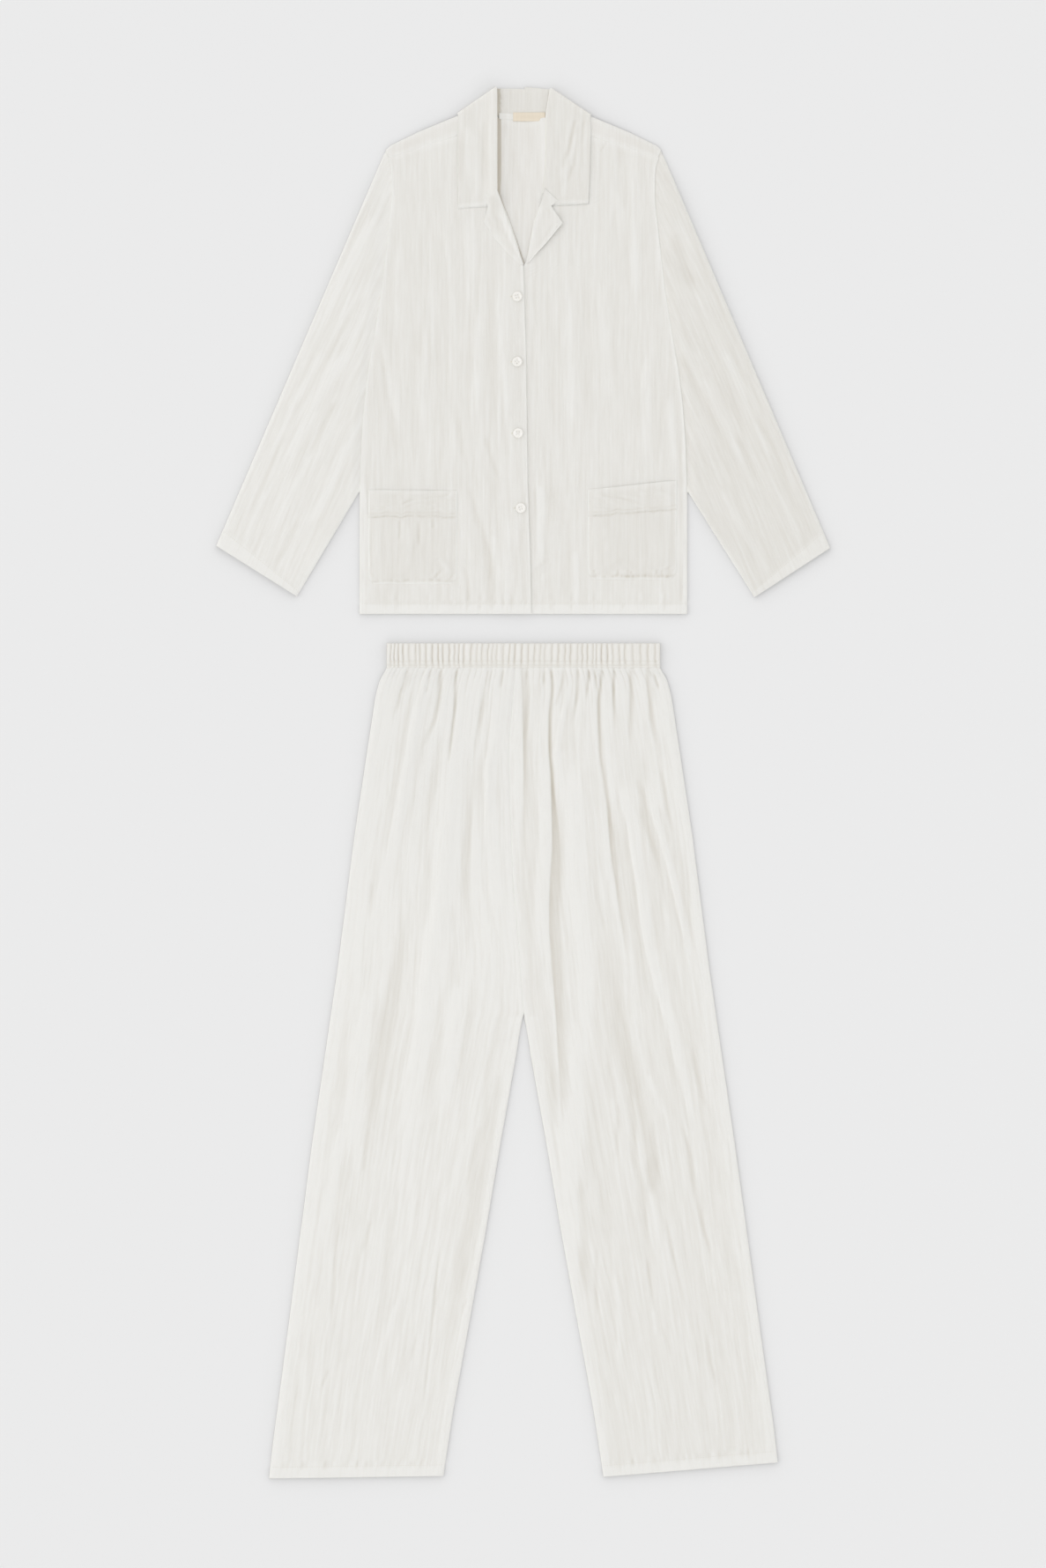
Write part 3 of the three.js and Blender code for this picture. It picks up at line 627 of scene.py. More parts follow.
armhole = [  # height, half width of the body
    (0, 204.6), (153, 204.6), (217, 202.4), (261, 199.1), (305, 193.6), (343, 187), (404, 177.1),
    (470, 169.4), (514, 164.4), (554, 164.4), (579.5, 172),
]
shoulderFold = [  # distance from the middle, height of the fold along the shoulder
    (0, 618.4), (34, 621), (64, 632), (81.4, 622.3), (93.5, 617.3), (132, 601.5), (166, 585), (172, 579.5),
]
forwardSeam = [(64, 603), (170, 570)]  # distance from the middle, height of the seam
leftFrontEdge = [  # height, inner edge of the front on top
    (0, 10), (63, 8.8), (162, 5.5), (327, 3.3), (433, 0), (459, -6.6), (492, -17.6), (517.5, -28.5),
    (523.5, -54), (545, -66.2), (580, -68), (602, -68),
]
rightFrontEdge = [  # height, inner edge of the front beneath
    (0, -19), (420, -19), (437, 2.5), (492, 13.2), (517, 23), (523.5, 51), (545, 62.5), (577, 65.5),
    (602, 68),
]
frontDrop = [  # height at the inner edge, how much lower the armhole end lies
    (0, 0), (437, 0), (472, 2), (496, 4), (518, 6), (546, 14), (577, 23), (601, 32),
]


def neckLift(x, y):  # the collar's fall passes under the back at the neck
    return 1.5 * np.clip((y - 540) / 60, 0, 1) * np.clip((150 - np.abs(x)) / 50, 0, 1)


def overlapLift(x, y):  # the front on top climbs over the one beneath
    return jacket["overlap"] * smooth((x + 44) / 26) * smooth((475 - y) / 40)


# Jacket back, with the shoulder strips that come over to the front

back = {
    "columns": 130, "rows": 76, "stripColumns": 64, "stripRows": 20, "stripStart": 62,
    "rollX": -33.2,  # where the left roll of the collar stands over it
}


def makeBack():
    shape = newShape("jacket")
    share = spread(back["columns"], 2 * jacket["bodyHalf"]) * 2 - 1
    share = np.interp(share, (-1, -0.6, 0.6, 1), (-1, -0.2, 0.2, 1))  # finer where the neck opening shows
    rise = np.interp(spread(back["rows"], 620), (0, 0.3, 1), (0, 0.7, 1))
    s, r = np.meshgrid(share, rise)
    top, level = jacket["shoulderY"], 0.9  # rows run level up to this share of the height
    y = r * top
    for _ in range(3):  # the rows above follow the neck and shoulder fold
        x = s * along(armhole, y, 6)
        topY = np.where(np.abs(x) < 64, along(shoulderFold, np.abs(x), 3), along(shoulderFold, np.abs(x)))
        y = np.where(r > level, top * level + (topY - 1 - top * level) * (r - level) / 0.1, r * top)
    x = s * along(armhole, np.minimum(y, top), 6)
    shown = smooth((90 - np.abs(x)) / 20) * smooth((y - 400) / 30)  # only the neck opening shows
    relief = crinkle(x, y, 31) * (0.25 + 0.6 * shown)
    middle = jacket["backMiddle"] + neckLift(x, y) + relief * 0.5
    middle += creases(x, y, backCreases) * shown
    toRightRoll = smooth((x - 6) / 22) * smooth((33 - x) / 3) * smooth((y - 445) / 50)
    middle += 1.7 * toRightRoll * shown
    edge = np.minimum((1 - np.abs(s)) * 200, np.minimum(r, 1 - r) * 600)
    middle = np.maximum(middle, 0.55)
    fromRoll = x - np.interp(y, (436, 524), (0.4, back["rollX"]))
    reach = np.interp(y, (440, 515, 545, 655), (3.0, 4.4, 6.2, 6.2))
    rollShadow = smooth((reach - fromRoll) / 1.8) * smooth((y - 430) / 12)  # painted shadow of the left roll, which stands over the back
    # The back painted a little darker, with the left roll's painted shadow beside the roll
    addPanel(shape, x, y, middle, jacket["cloth"], edge, paintedLight=-0.03 - rollShadow * (fromRoll > -6))
    for side in (-1, 1):
        addShoulderStrip(shape, side)
    return shape, finishPiece("jacketBack", shape, gauzeInside, ["jacket_back"])


def addShoulderStrip(shape, side):  # the back comes over the shoulder to the forward seam
    share, rise = spread(back["stripColumns"], 110), spread(back["stripRows"], 20, (0.3, 0.7))
    s, r = np.meshgrid(share, rise)
    outX = back["stripStart"] + s * (jacket["shoulderX"] - back["stripStart"])
    x = side * (outX - 4 * (1 - r) * s)
    seam, fold = along(forwardSeam, outX) - 0.3, along(shoulderFold, outX)
    y = seam + (fold - seam) * r
    middle = jacket["frontMiddle"] + 0.35 + neckLift(x, y) + 0.5 * crinkle(x * 0.5, y * 2 + x, 33)
    middle -= 0.55 * bell(y - seam, 1.6)  # dips at the seam
    middle -= 1.9 * (1 - rounded((fold - seam) * (1 - r), 5))  # turns down to the back at the fold
    order = slice(None) if side > 0 else slice(None, None, -1)
    x, y, middle, edge = (grid[:, order] for grid in (x, y, middle, fromEdges(s, 100, r, 20)))
    # the strip painted a little darker
    addPanel(shape, x, y, middle, jacket["cloth"], edge, paintedLight=-0.06)


backCreases = [  # path, height, width left or below, width right or above
    ([(-12, 590), (-14, 540), (-8, 480)], -0.35, 7, 9),
    ([(6, 600), (10, 540), (4, 470)], 0.4, 8, 10),
    ([(24, 596), (20, 560), (22, 520)], -0.3, 5, 6),
]


# Jacket fronts

frontGrid = {"columns": 138, "rows": 128}

leftFrontCreases = [  # path, height, width left or below, width right or above
    ([(-122, 575), (-121, 500), (-121, 420), (-122, 337)], -0.9, 5, 3),
    ([(-142, 572), (-140, 530), (-137, 500)], -0.6, 4, 4),
    ([(-104, 480), (-100, 400), (-99, 300), (-83, 222)], -0.7, 7, 5),
    ([(-67, 508), (-66, 440), (-68, 375)], 1.2, 8, 12),
    ([(-184, 376), (-165, 290), (-147, 198)], 0.9, 6, 9),
    ([(-180, 340), (-170, 270), (-158, 205)], -0.6, 4, 3),
    ([(-84, 265), (-79, 225), (-72, 180)], -0.7, 4, 3),
    ([(-48, 224), (-40, 195), (-30, 165)], -0.6, 4, 3),
    ([(-152, 470), (-156, 380), (-150, 250)], 0.8, 10, 12),
    ([(-31, 410), (-27, 330), (-22, 250)], 0.7, 9, 7),
    ([(-28, 300), (-24, 240), (-20, 190)], -0.5, 4, 3),
    ([(-68, 160), (-61, 130), (-54, 104)], -0.7, 5, 4),
    ([(-54, 122), (-50, 96), (-42, 66), (-40, 40), (-40, 12)], -0.8, 9, 4),
    ([(-40, 100), (-33, 70), (-30, 30)], 0.7, 5, 9),
    ([(-74, 60), (-70, 36), (-68, 10)], -0.5, 4, 3),
    ([(-190, 520), (-184, 440), (-180, 390)], 0.8, 9, 12),
    ([(-54, 380), (-58, 300), (-62, 240)], 0.6, 7, 9),
    ([(-200, 140), (-200, 80), (-200, 20)], -0.5, 2, 1.5),
    ([(-14, 120), (-18, 70), (-16, 20)], 0.6, 8, 7),
    ([(-128, 330), (-126, 270), (-122, 200)], 0.7, 8, 6),
]

rightFrontCreases = [
    ([(123, 590), (125, 545), (127, 500)], -1.1, 7, 5),
    ([(136, 560), (138, 470), (141, 378)], 0.9, 5, 8),
    ([(76, 480), (79, 400), (82, 300), (87, 175)], -0.8, 5, 5),
    ([(113, 510), (117, 410), (118, 300)], -0.6, 4, 4),
    ([(28, 412), (36, 300), (44, 200)], -0.6, 6, 5),
    ([(52, 430), (60, 330), (62, 220)], 0.8, 9, 9),
    ([(98, 420), (102, 330), (104, 240)], 0.7, 7, 8),
    ([(113, 275), (121, 225), (130, 180)], -0.7, 5, 4),
    ([(156, 412), (161, 370), (166, 330)], -0.8, 8, 5),
    ([(182, 275), (186, 225), (188, 180)], 0.8, 6, 5),
    ([(150, 330), (152, 250), (150, 185)], 0.7, 8, 9),
    ([(20, 165), (22, 110), (18, 50)], 1.3, 8, 8),
    ([(33, 66), (22, 56), (12, 42)], -1.0, 6, 5),
    ([(50, 120), (54, 70), (52, 20)], -0.6, 8, 6),
    ([(64, 80), (66, 45), (66, 8)], 0.6, 6, 6),
    ([(195, 240), (197, 150), (197, 60), (197, 8)], -0.6, 5, 5, 0.2, 0.1),
    ([(90, 592), (97, 596), (102, 588), (97, 580), (91, 586)], -0.6, 1.6, 1.6),
    ([(120, 24), (124, 14), (124, 4)], -0.6, 3, 3),
    ([(146, 26), (148, 14), (148, 4)], 0.6, 4, 4),
    ([(172, 26), (174, 14), (175, 4)], 0.5, 4, 4),
]

hemPuckers = {"left": (-70, -54, -40, -26, -15, -120, -160), "right": (14, 34, 60, 88, 124, 150, 176)}


def pocketZone(x, y, side):  # the front lies quiet beneath its pocket
    box = pockets[0 if side < 0 else 1]
    dx = np.minimum(x - box["x"], box["x"] + box["width"] - x)
    dy = np.minimum(y - box["y"], box["y"] + box["height"] + box["rise"] - y)
    return smooth((np.minimum(dx, dy) + 6) / 8)


pockets = [
    {"side": -1, "x": -193.6, "y": 37.4, "width": 111.0, "height": 116.6, "rise": 1.0},
    {"side": 1, "x": 80.3, "y": 43.0, "width": 111.0, "height": 112.0, "rise": 12.0},
]


def frontMiddle(x, y, side, toOuter):
    table = leftFrontCreases if side < 0 else rightFrontCreases
    relief = crinkle(x, y, 41 if side < 0 else 57) + 0.8 * creases(x, y, table)
    inPocket = pocketZone(x, y, side)
    hemZone = smooth((y - jacket["hem"] + 3) / 6)
    relief *= (1 - 0.9 * inPocket) * (0.35 + 0.65 * hemZone)
    underCollar = smooth((92 - np.abs(x)) / 8) * smooth((y - 500) / 10)
    relief *= 1 - 0.85 * underCollar
    for place in hemPuckers["left" if side < 0 else "right"]:
        relief = relief - 0.35 * bell(x - place, 2.2) * smooth((30 - y) / 10) * smooth((y + 1) / 5)
    middle = jacket["frontMiddle"] + neckLift(x, y) + relief
    if side < 0:
        middle = middle + overlapLift(x, y)
    else:
        middle = np.where((x < 16) & (y < 440), np.minimum(middle, jacket["frontMiddle"] + 0.15), middle)
    hem = hemFold(y, jacket["hem"], 0.7, 1 + 0.5 * lineNoise(x / 11, 18), 1 + 0.6 * lineNoise(x / 3, 19))
    seamEdge = smooth((y - jacket["sideSeamTop"]) / 14)
    sideRoll = -1.5 * (1 - rounded(toOuter, 5)) * (1 - seamEdge)
    armholeRidge = 0.25 * bell(toOuter, 2.5) * seamEdge
    return np.maximum(middle + hem + sideRoll + armholeRidge, 0.6 + 1.2 * smooth(toOuter / 6))


def makeFront(side):
    shape = newShape("jacket")
    share, rise = spread(frontGrid["columns"], 210), spread(frontGrid["rows"], 600)
    s, r = np.meshgrid(share, rise)
    toInner = s if side < 0 else 1 - s
    rowY = r * jacket["frontTop"]
    y = rowY - along(frontDrop, rowY, 10) * (1 - toInner)
    inner = along(leftFrontEdge if side < 0 else rightFrontEdge, rowY, 3)
    outer = side * (along(armhole, y, 6) - 0.1)
    x = outer + (inner - outer) * toInner
    width = np.abs(inner - outer)
    toOuter = toInner * width
    middle = frontMiddle(x, y, side, toOuter)
    edge = fromEdges(s, width, r, 600)
    # Painted light: the hem band lighter, as its double layer looks, and the fronts a little darker, the left
    # more
    paintedLight = 0.15 * smooth((jacket["hem"] - y) / 0.8) - (0.01 if side > 0 else 0.02)
    addPanel(shape, x, y, middle, jacket["cloth"], edge, paintedLight=paintedLight, broadShare=0.7)
    return shape, finishSide("jacketFront", "jacket_front", side, shape)


backShape, backPiece = makeBack()
fronts = {side: makeFront(side) for side in (-1, 1)}
print("jacket back and fronts ready")


# Sleeves

sleeveLook = {
    "columns": 92, "rows": 84, "cloth": 1.0, "loft": 4.6, "cuffLoft": 3.5, "seamLoft": 2.2, "cuffHem": 13.0,
    "foldRadius": 3.2, "length": 330.0, "tuck": 2.2, "tuckHeight": 1.65,
}
sleeves = [
    {"side": -1, "cuffInner": (282.7, 22.0), "cuffOuter": (383.5, 85.0)},
    {"side": 1, "cuffInner": (288.2, 20.9), "cuffOuter": (382.8, 82.5)},
]
leftSleeveCreases = [  # along the sleeve from the shoulder down to the cuff
    ([(-186, 500), (-226, 420), (-262, 340)], 0.8, 7, 9),
    ([(-200, 400), (-250, 310), (-290, 240)], -0.6, 5, 4),
    ([(-222, 330), (-262, 260), (-300, 180)], 0.9, 6, 7),
    ([(-250, 330), (-290, 250), (-320, 190)], 0.8, 5, 6),
    ([(-232, 270), (-256, 220), (-284, 160)], -0.7, 4, 4),
    ([(-260, 210), (-290, 150), (-312, 100)], 0.8, 5, 5),
    ([(-296, 230), (-322, 170), (-340, 120)], -0.7, 4, 4),
    ([(-216, 220), (-240, 160), (-266, 110)], 0.7, 6, 6),
    ([(-320, 160), (-340, 110), (-352, 80)], 0.6, 5, 5),
    ([(-280, 120), (-296, 84), (-312, 60)], -0.6, 4, 4),
]
rightSleeveCreases = [
    ([(186, 480), (214, 400), (246, 320)], -0.9, 8, 7),
    ([(196, 330), (226, 260), (262, 190)], -0.8, 7, 6),
    ([(206, 420), (244, 340), (280, 260)], 0.9, 8, 8),
    ([(226, 300), (256, 230), (282, 170)], 0.8, 7, 7),
    ([(250, 330), (284, 250), (316, 180)], 0.8, 6, 7),
    ([(262, 230), (290, 170), (312, 120)], -0.6, 5, 5),
    ([(290, 250), (316, 190), (340, 130)], -0.5, 5, 5),
    ([(246, 160), (270, 110), (292, 70)], 0.6, 6, 6),
    ([(320, 150), (338, 110), (350, 80)], 0.5, 5, 5),
]


def makeSleeve(side, cuffInner, cuffOuter):
    shape = newShape("jacket")
    look = sleeveLook
    seamLength = jacket["shoulderY"] - jacket["sideSeamTop"]
    cuffWidth = math.dist(cuffInner, cuffOuter)
    share = np.sort(spread(look["columns"], 160, (0.25, 0.6, 1.1, 1.7, 2.4)))
    stations = spread(look["rows"], look["length"])

    def place(a, s):
        seamY = jacket["sideSeamTop"] + seamLength * a
        seamX = along(armhole, seamY, 6) + 0.2
        x = side * (seamX + (cuffInner[0] + (cuffOuter[0] - cuffInner[0]) * a - seamX) * s)
        y = seamY + (cuffInner[1] + (cuffOuter[1] - cuffInner[1]) * a - seamY) * s
        return x, y

    a, s = np.meshgrid(share, stations)
    width = seamLength + (cuffWidth - seamLength) * s ** 0.8
    x, y = place(a, s)
    fromCuff = (1 - s) * look["length"]
    loft = look["seamLoft"] + (look["loft"] - look["seamLoft"]) * smooth(s / 0.12)
    loft = loft - (look["loft"] - look["cuffLoft"]) * smooth((s - 0.55) / 0.4)
    table = leftSleeveCreases if side < 0 else rightSleeveCreases
    tipX, tipY = side * jacket["shoulderX"], jacket["shoulderY"]
    foldX, foldY = side * cuffOuter[0] - tipX, cuffOuter[1] - tipY
    foldLength = math.hypot(foldX, foldY)
    u = side * ((x - tipX) * foldY - (y - tipY) * foldX) / foldLength  # grain runs along the outer fold
    v = ((x - tipX) * foldX + (y - tipY) * foldY) / foldLength
    relief = 0.75 * crinkle(u, v, 63 if side < 0 else 71) + 0.6 * creases(x, y, table)
    relief = relief * (0.4 + 0.6 * smooth((fromCuff - 10) / 8)) * smooth(s / 0.05)
    relief = relief + hemFold(fromCuff, look["cuffHem"], 0.8)
    turn = rounded(np.minimum(a, 1 - a) * width * 0.6, look["foldRadius"])
    height = loft + relief
    upperZ = height * (0.42 + 0.58 * turn)
    lowerZ = 0.06 + height * 0.30 * (1 - turn)
    # Painted light: the cuff's hem band lighter, the left sleeve lighter and the right one darker, as the
    # light falls from the left
    paintedShade = paintedShadeOf(height) - 0.15 * smooth((look["cuffHem"] - fromCuff) / 0.8)
    paintedShade = np.clip(paintedShade * insideOf(np.minimum(a, 1 - a) * width) - (0.05 if side < 0 else -0.1), 0, 1)
    tucked = 1 - smooth(s / 0.012)  # the upper layer runs in under the edge of the body
    tuck = look["tuck"] * tucked
    upperX = x - side * tuck
    upperZ = upperZ * (1 - tucked) + look["tuckHeight"] * tucked

    def ring(upper, lower):
        return np.concatenate([lower, upper[:, ::-1]], 1)

    narrow = look["cloth"] / width
    innerA = np.clip(a, narrow, 1 - narrow)
    innerX, innerY = place(innerA, s)
    thick = look["cloth"] * (0.55 + 0.45 * rounded(fromCuff, 1.0))
    innerTop = np.maximum(upperZ - thick * (0.45 + 0.55 * (1 - tucked)), lowerZ + 0.9)
    outerGrid = (ring(upperX, x), ring(y, y), ring(upperZ, lowerZ))
    innerGrid = (ring(innerX - side * tuck, innerX), ring(innerY, innerY), ring(innerTop, lowerZ + 0.6))
    uRing, vRing = ring(u, u), ring(v, v)
    outer = addGrid(shape, *outerGrid, uRing, vRing, ring(paintedShade, paintedShade * 0))
    inner = addGrid(shape, *innerGrid, uRing, vRing, 0.0)
    after = np.roll(np.arange(2 * len(share)), -1)
    flip = side < 0
    for index, inside in ((outer, False), (inner, True)):
        p, q = index[:-1], index[1:]
        corners = (p, p[:, after], q[:, after], q)
        if flip == inside:
            corners = corners[::-1]
        quads(shape, *corners)
    for row, first in ((0, True), (-1, False)):
        corners = (outer[row], outer[row][after], inner[row][after], inner[row])
        if first != flip:
            corners = corners[::-1]
        quads(shape, *corners)
    shape["area"] = 2 * planArea(x, y)
    return shape, finishSide("sleeve", "sleeve", side, shape)


sleevePieces = {row["side"]: makeSleeve(**row) for row in sleeves}
print("sleeves ready")


# Collar, from its left front end over the back neck to its right front end

collarSections = [  # seam, roll, notch, edge, quarter turns passed over the shoulder, steps to the next
    ((-52, 525), (-34, 524), (-45, 508), (-81.4, 505), (0, 0), 8),
    ((-64, 543), (-34, 545), (-46, 543), (-82.4, 538), (0, 0), 14),
    ((-67, 580), (-34, 585), (-46, 583), (-82.4, 577), (0, 0), 14),
    ((-66, 613), (-34, 624), (-46, 620), (-82, 607), (0, 0), 10),
    ((-62.7, 635.6), (-34, 655), (-46, 647), (-81.4, 622.6), (0, 2), 8),
    ((-34, 622.3), (-16, 654.8), (-21, 645), (-44, 606), (2, 2), 12),
    ((0, 619), (1, 654), (1, 641), (0, 603), (2, 2), 12),
    ((34, 622.3), (18, 653), (23, 643), (44, 606), (2, 2), 8),
    ((64, 633.8), (36, 652.6), (48, 644.5), (83.4, 620.7), (2, 0), 10),
    ((66, 611), (31, 622), (43, 618), (84.6, 604), (0, 0), 14),
    ((63, 578), (31, 584), (43, 582), (83.6, 574), (0, 0), 14),
    ((59.5, 543), (30, 548), (42, 546), (82.6, 540), (0, 0), 8),
    ((47, 524), (26.4, 523.5), (37, 508.5), (81.4, 511.5), (0, 0), 0),
]
collarLook = {
    "cloth": 1.1, "bend": 0.75, "level": 2.85, "turnSteps": 18,
    "standColumns": 12, "bendColumns": 8, "fallColumns": 38,
    "leftRoll": 5.0, "rightRoll": 0.7, "rollReach": 12.0, "rightBulge": 3.4, "knee": 0.25,
}
collarCreases = [
    ([(64, 618), (59, 590), (51, 563)], -0.9, 2.5, 2.5),
    ([(69, 613), (64, 574), (56, 536)], -0.8, 2.5, 2.5),
    ([(66, 602), (62, 570), (60, 556)], 0.7, 2.5, 2.5),
    ([(75, 618), (73, 590), (74, 550)], -0.5, 2, 2),
    ([(48, 560), (50, 535), (47, 515)], 0.5, 4, 5),
    ([(-70, 610), (-66, 570), (-68, 520)], 0.6, 6, 8),
    ([(-48, 620), (-50, 570), (-46, 520)], -0.4, 5, 6),
    ([(-58, 600), (-58, 560), (-57, 515)], 0.4, 4, 5),
    ([(-20, 650), (-21, 640), (-20, 628)], -0.6, 2.5, 3),
    ([(18, 648), (20, 640), (24, 628)], 0.9, 4, 5),
    ([(0, 652), (2, 640), (3, 628)], -0.4, 4, 4),
]


def makeCollar():
    look = collarLook
    rows = []
    for number, (seam, roll, notch, edge, turns, steps) in enumerate(collarSections):
        here = [*seam, *roll, *notch, *edge]
        turnSteps = look["turnSteps"] if turns[0] != turns[1] else 1
        for turn in np.linspace(turns[0], turns[1], turnSteps):
            rows.append([*here, turn])
        if steps:
            after = collarSections[number + 1]
            there = [*after[0], *after[1], *after[2], *after[3]]
            for t in np.linspace(0, 1, steps + 1)[1:-1]:
                rows.append([*(np.array(here) * (1 - t) + np.array(there) * t), turns[1]])
    table = np.array(rows)
    for _ in range(6):  # soften the table along the collar, its ends kept
        table[1:-1, :] = table[:-2, :] * 0.25 + table[1:-1, :] * 0.5 + table[2:, :] * 0.25
    seam, roll, notch, edge, turn = table[:, 0:2], table[:, 2:4], table[:, 4:6], table[:, 6:8], table[:, 8]
    ahead = roll - seam
    ahead = ahead / np.linalg.norm(ahead, axis=1, keepdims=True)
    side = np.sign(seam[:, 0])
    side[side == 0] = 1
    outward = np.stack([side * np.abs(ahead[:, 1]), np.abs(ahead[:, 0])], 1)
    bend = look["bend"]
    columns = []  # plan place and reach from the collar's own middle layer
    for t in np.linspace(0, 0.97, look["standColumns"]):
        columns.append((seam + (roll - seam) * t, np.full(len(table), bend)))
    for t in np.linspace(0.12, 0.88, look["bendColumns"]):
        swing = math.pi * t
        bulge = np.where(seam[:, :1] > 0, look["rightBulge"], bend)  # the right roll is softer
        level = 2 * bend - bend * math.cos(swing)
        columns.append((roll + ahead * bulge * math.sin(swing), np.full(len(table), level)))
    knee = look["knee"]  # share of the fall between the roll and the notch
    for t in np.linspace(0, 1, look["fallColumns"] + 1)[1:]:
        place = roll + (notch - roll) * min(t / knee, 1) + (edge - notch) * max((t - knee) / (1 - knee), 0)
        columns.append((place, np.full(len(table), 3 * bend)))
    plan = np.stack([c[0] for c in columns], 1)
    reach = np.stack([c[1] for c in columns], 1)
    x, y = plan[..., 0], plan[..., 1]
    quarter = turn[:, None] * math.pi / 2
    facing = np.clip(np.cos(quarter), 0, 1)
    fromRoll = np.hypot(x - roll[:, :1], y - roll[:, 1:2])
    isFall = reach > 2 * bend
    rollLoft = np.where(side < 0, look["leftRoll"], look["rightRoll"])[:, None] * facing
    rollLoft = rollLoft * smooth((y - 505) / 25)
    loft = rollLoft * bell(fromRoll, look["rollReach"]) * smooth((reach - bend) / (2 * bend))
    relief = 0.6 * crinkle(x, y, 83) + 0.8 * creases(x, y, collarCreases)
    relief = np.where(isFall, relief * facing, relief * 0.6 * (1 - facing))
    lift = neckLift(x, y) - 1.5
    lift = np.where(facing > 0.98, lift, lift * facing)
    px = x + outward[:, :1] * reach * np.sin(quarter)
    py = y + outward[:, 1:2] * reach * np.sin(quarter)
    pz = look["level"] + reach * np.cos(quarter) + lift + loft
    shape = newShape("jacket")
    middle = np.stack([px, py, pz], -1)
    alongRows = np.gradient(middle, axis=0)
    acrossRows = np.gradient(middle, axis=1)
    normal = np.cross(alongRows, acrossRows)
    normal /= np.linalg.norm(normal, axis=-1, keepdims=True) + 1e-9
    outer = np.where((normal[:, -10, 2] * np.where(facing[:, 0] > 0, 1, -1)).mean() > 0, 1, -1)
    normal = normal * outer
    middle = middle + normal * np.where(isFall, relief, -relief)[..., None]
    toEnd = np.minimum(np.arange(len(table)), np.arange(len(table))[::-1])
    settle = (np.where(side < 0, 0.8, 0.55) * (1 - smooth(toEnd / 3)))[:, None] * isFall  # both ends lie down
    middle[..., 2] = middle[..., 2] - settle
    lowest = look["cloth"] / 2 + 0.05
    middle[..., 2] = np.maximum(middle[..., 2], lowest)
    ends = toEnd[:, None] * 2.0
    edges = (len(columns) - 1 - np.arange(len(columns)))[None, :] * 1.2
    half = look["cloth"] / 2 * (0.25 + 0.75 * rounded(np.minimum(ends, edges), 1.5))[..., None]
    upper, lower = middle + normal * half, middle - normal * half
    grids = [np.moveaxis(g, -1, 0) for g in (upper, lower)]
    # Painted shade from the fall's relief
    paintedShade = paintedShadeOf(np.where(isFall, relief, 0))
    # Painted shade: the stand darker than the fall, and the right fall a little darker
    paintedShade = paintedShade + np.where(isFall, 0.045 + 0.03 * (side > 0)[:, None], 0.11)
    paintedShade = paintedShade - 0.14 * (toEnd < 2)[:, None]  # the ends' turned edges catch the light
    onStand = (turn[:, None] > 1) * (reach < bend * 1.5)  # painted shadow of the left roll on its stand
    paintedShade = paintedShade + smooth((back["rollX"] + 5.6 - px) / 1.8) * (px > -36) * onStand
    addWall(shape, grids[0], grids[1], x, y, np.clip(paintedShade, 0, 1))
    shape["area"] = float(np.hypot(*(roll - seam).T).mean() + np.hypot(*(edge - roll).T).mean()) * 560
    fixFacing(shape)
    return shape, finishPiece("turnedCollar", shape, gauzeOutside, ["collar"])


collarShape, collarPiece = makeCollar()
print("collar ready")


# Lapels: the fronts' facings where they turn out

leftLapel = [  # roll, edge, from the lowest point up to under the collar
    ((0.4, 436), (-4, 435.5)), ((-3, 446), (-13, 444)), ((-7.5, 461), (-24, 454.5)),
    ((-13.5, 480), (-37.4, 471)), ((-20.5, 497), (-49.5, 489.5)), ((-28.6, 518), (-44.4, 507)),
    ((-33.6, 531), (-47, 519)),
]
rightLapel = [
    ((2.8, 438), (7, 438.5)), ((4.7, 448), (16, 449.5)), ((7.6, 462), (28.6, 463)),
    ((11, 480), (39.5, 476)), ((15.5, 497), (49, 487.5)), ((22.8, 516), (34.8, 508.8)),
    ((27, 531), (43.5, 516)),
]
lapelLook = {
    "columns": 40, "rows": 70, "cloth": 0.9, "leftRoll": 2.9, "rightRoll": 0.3, "rollReach": 9.0, "tip": 3.0,
}
lapelCreases = {
    -1: [
        ([(-26, 500), (-22, 480), (-14, 458)], 0.5, 5, 5),
        ([(-46, 506), (-42, 488), (-36, 470), (-28, 460)], -0.5, 2, 3),
        ([(-40, 508), (-34, 492), (-32, 474)], -0.5, 2, 3),
        ([(-42, 478), (-34, 482), (-27, 480)], -0.4, 2, 2),
        ([(-34, 466), (-26, 470), (-20, 466)], 0.4, 2, 2),
    ],
    1: [([(28, 502), (26, 484), (16, 462)], 0.4, 5, 6), ([(38, 490), (30, 474), (18, 458)], -0.4, 3, 3)],
}


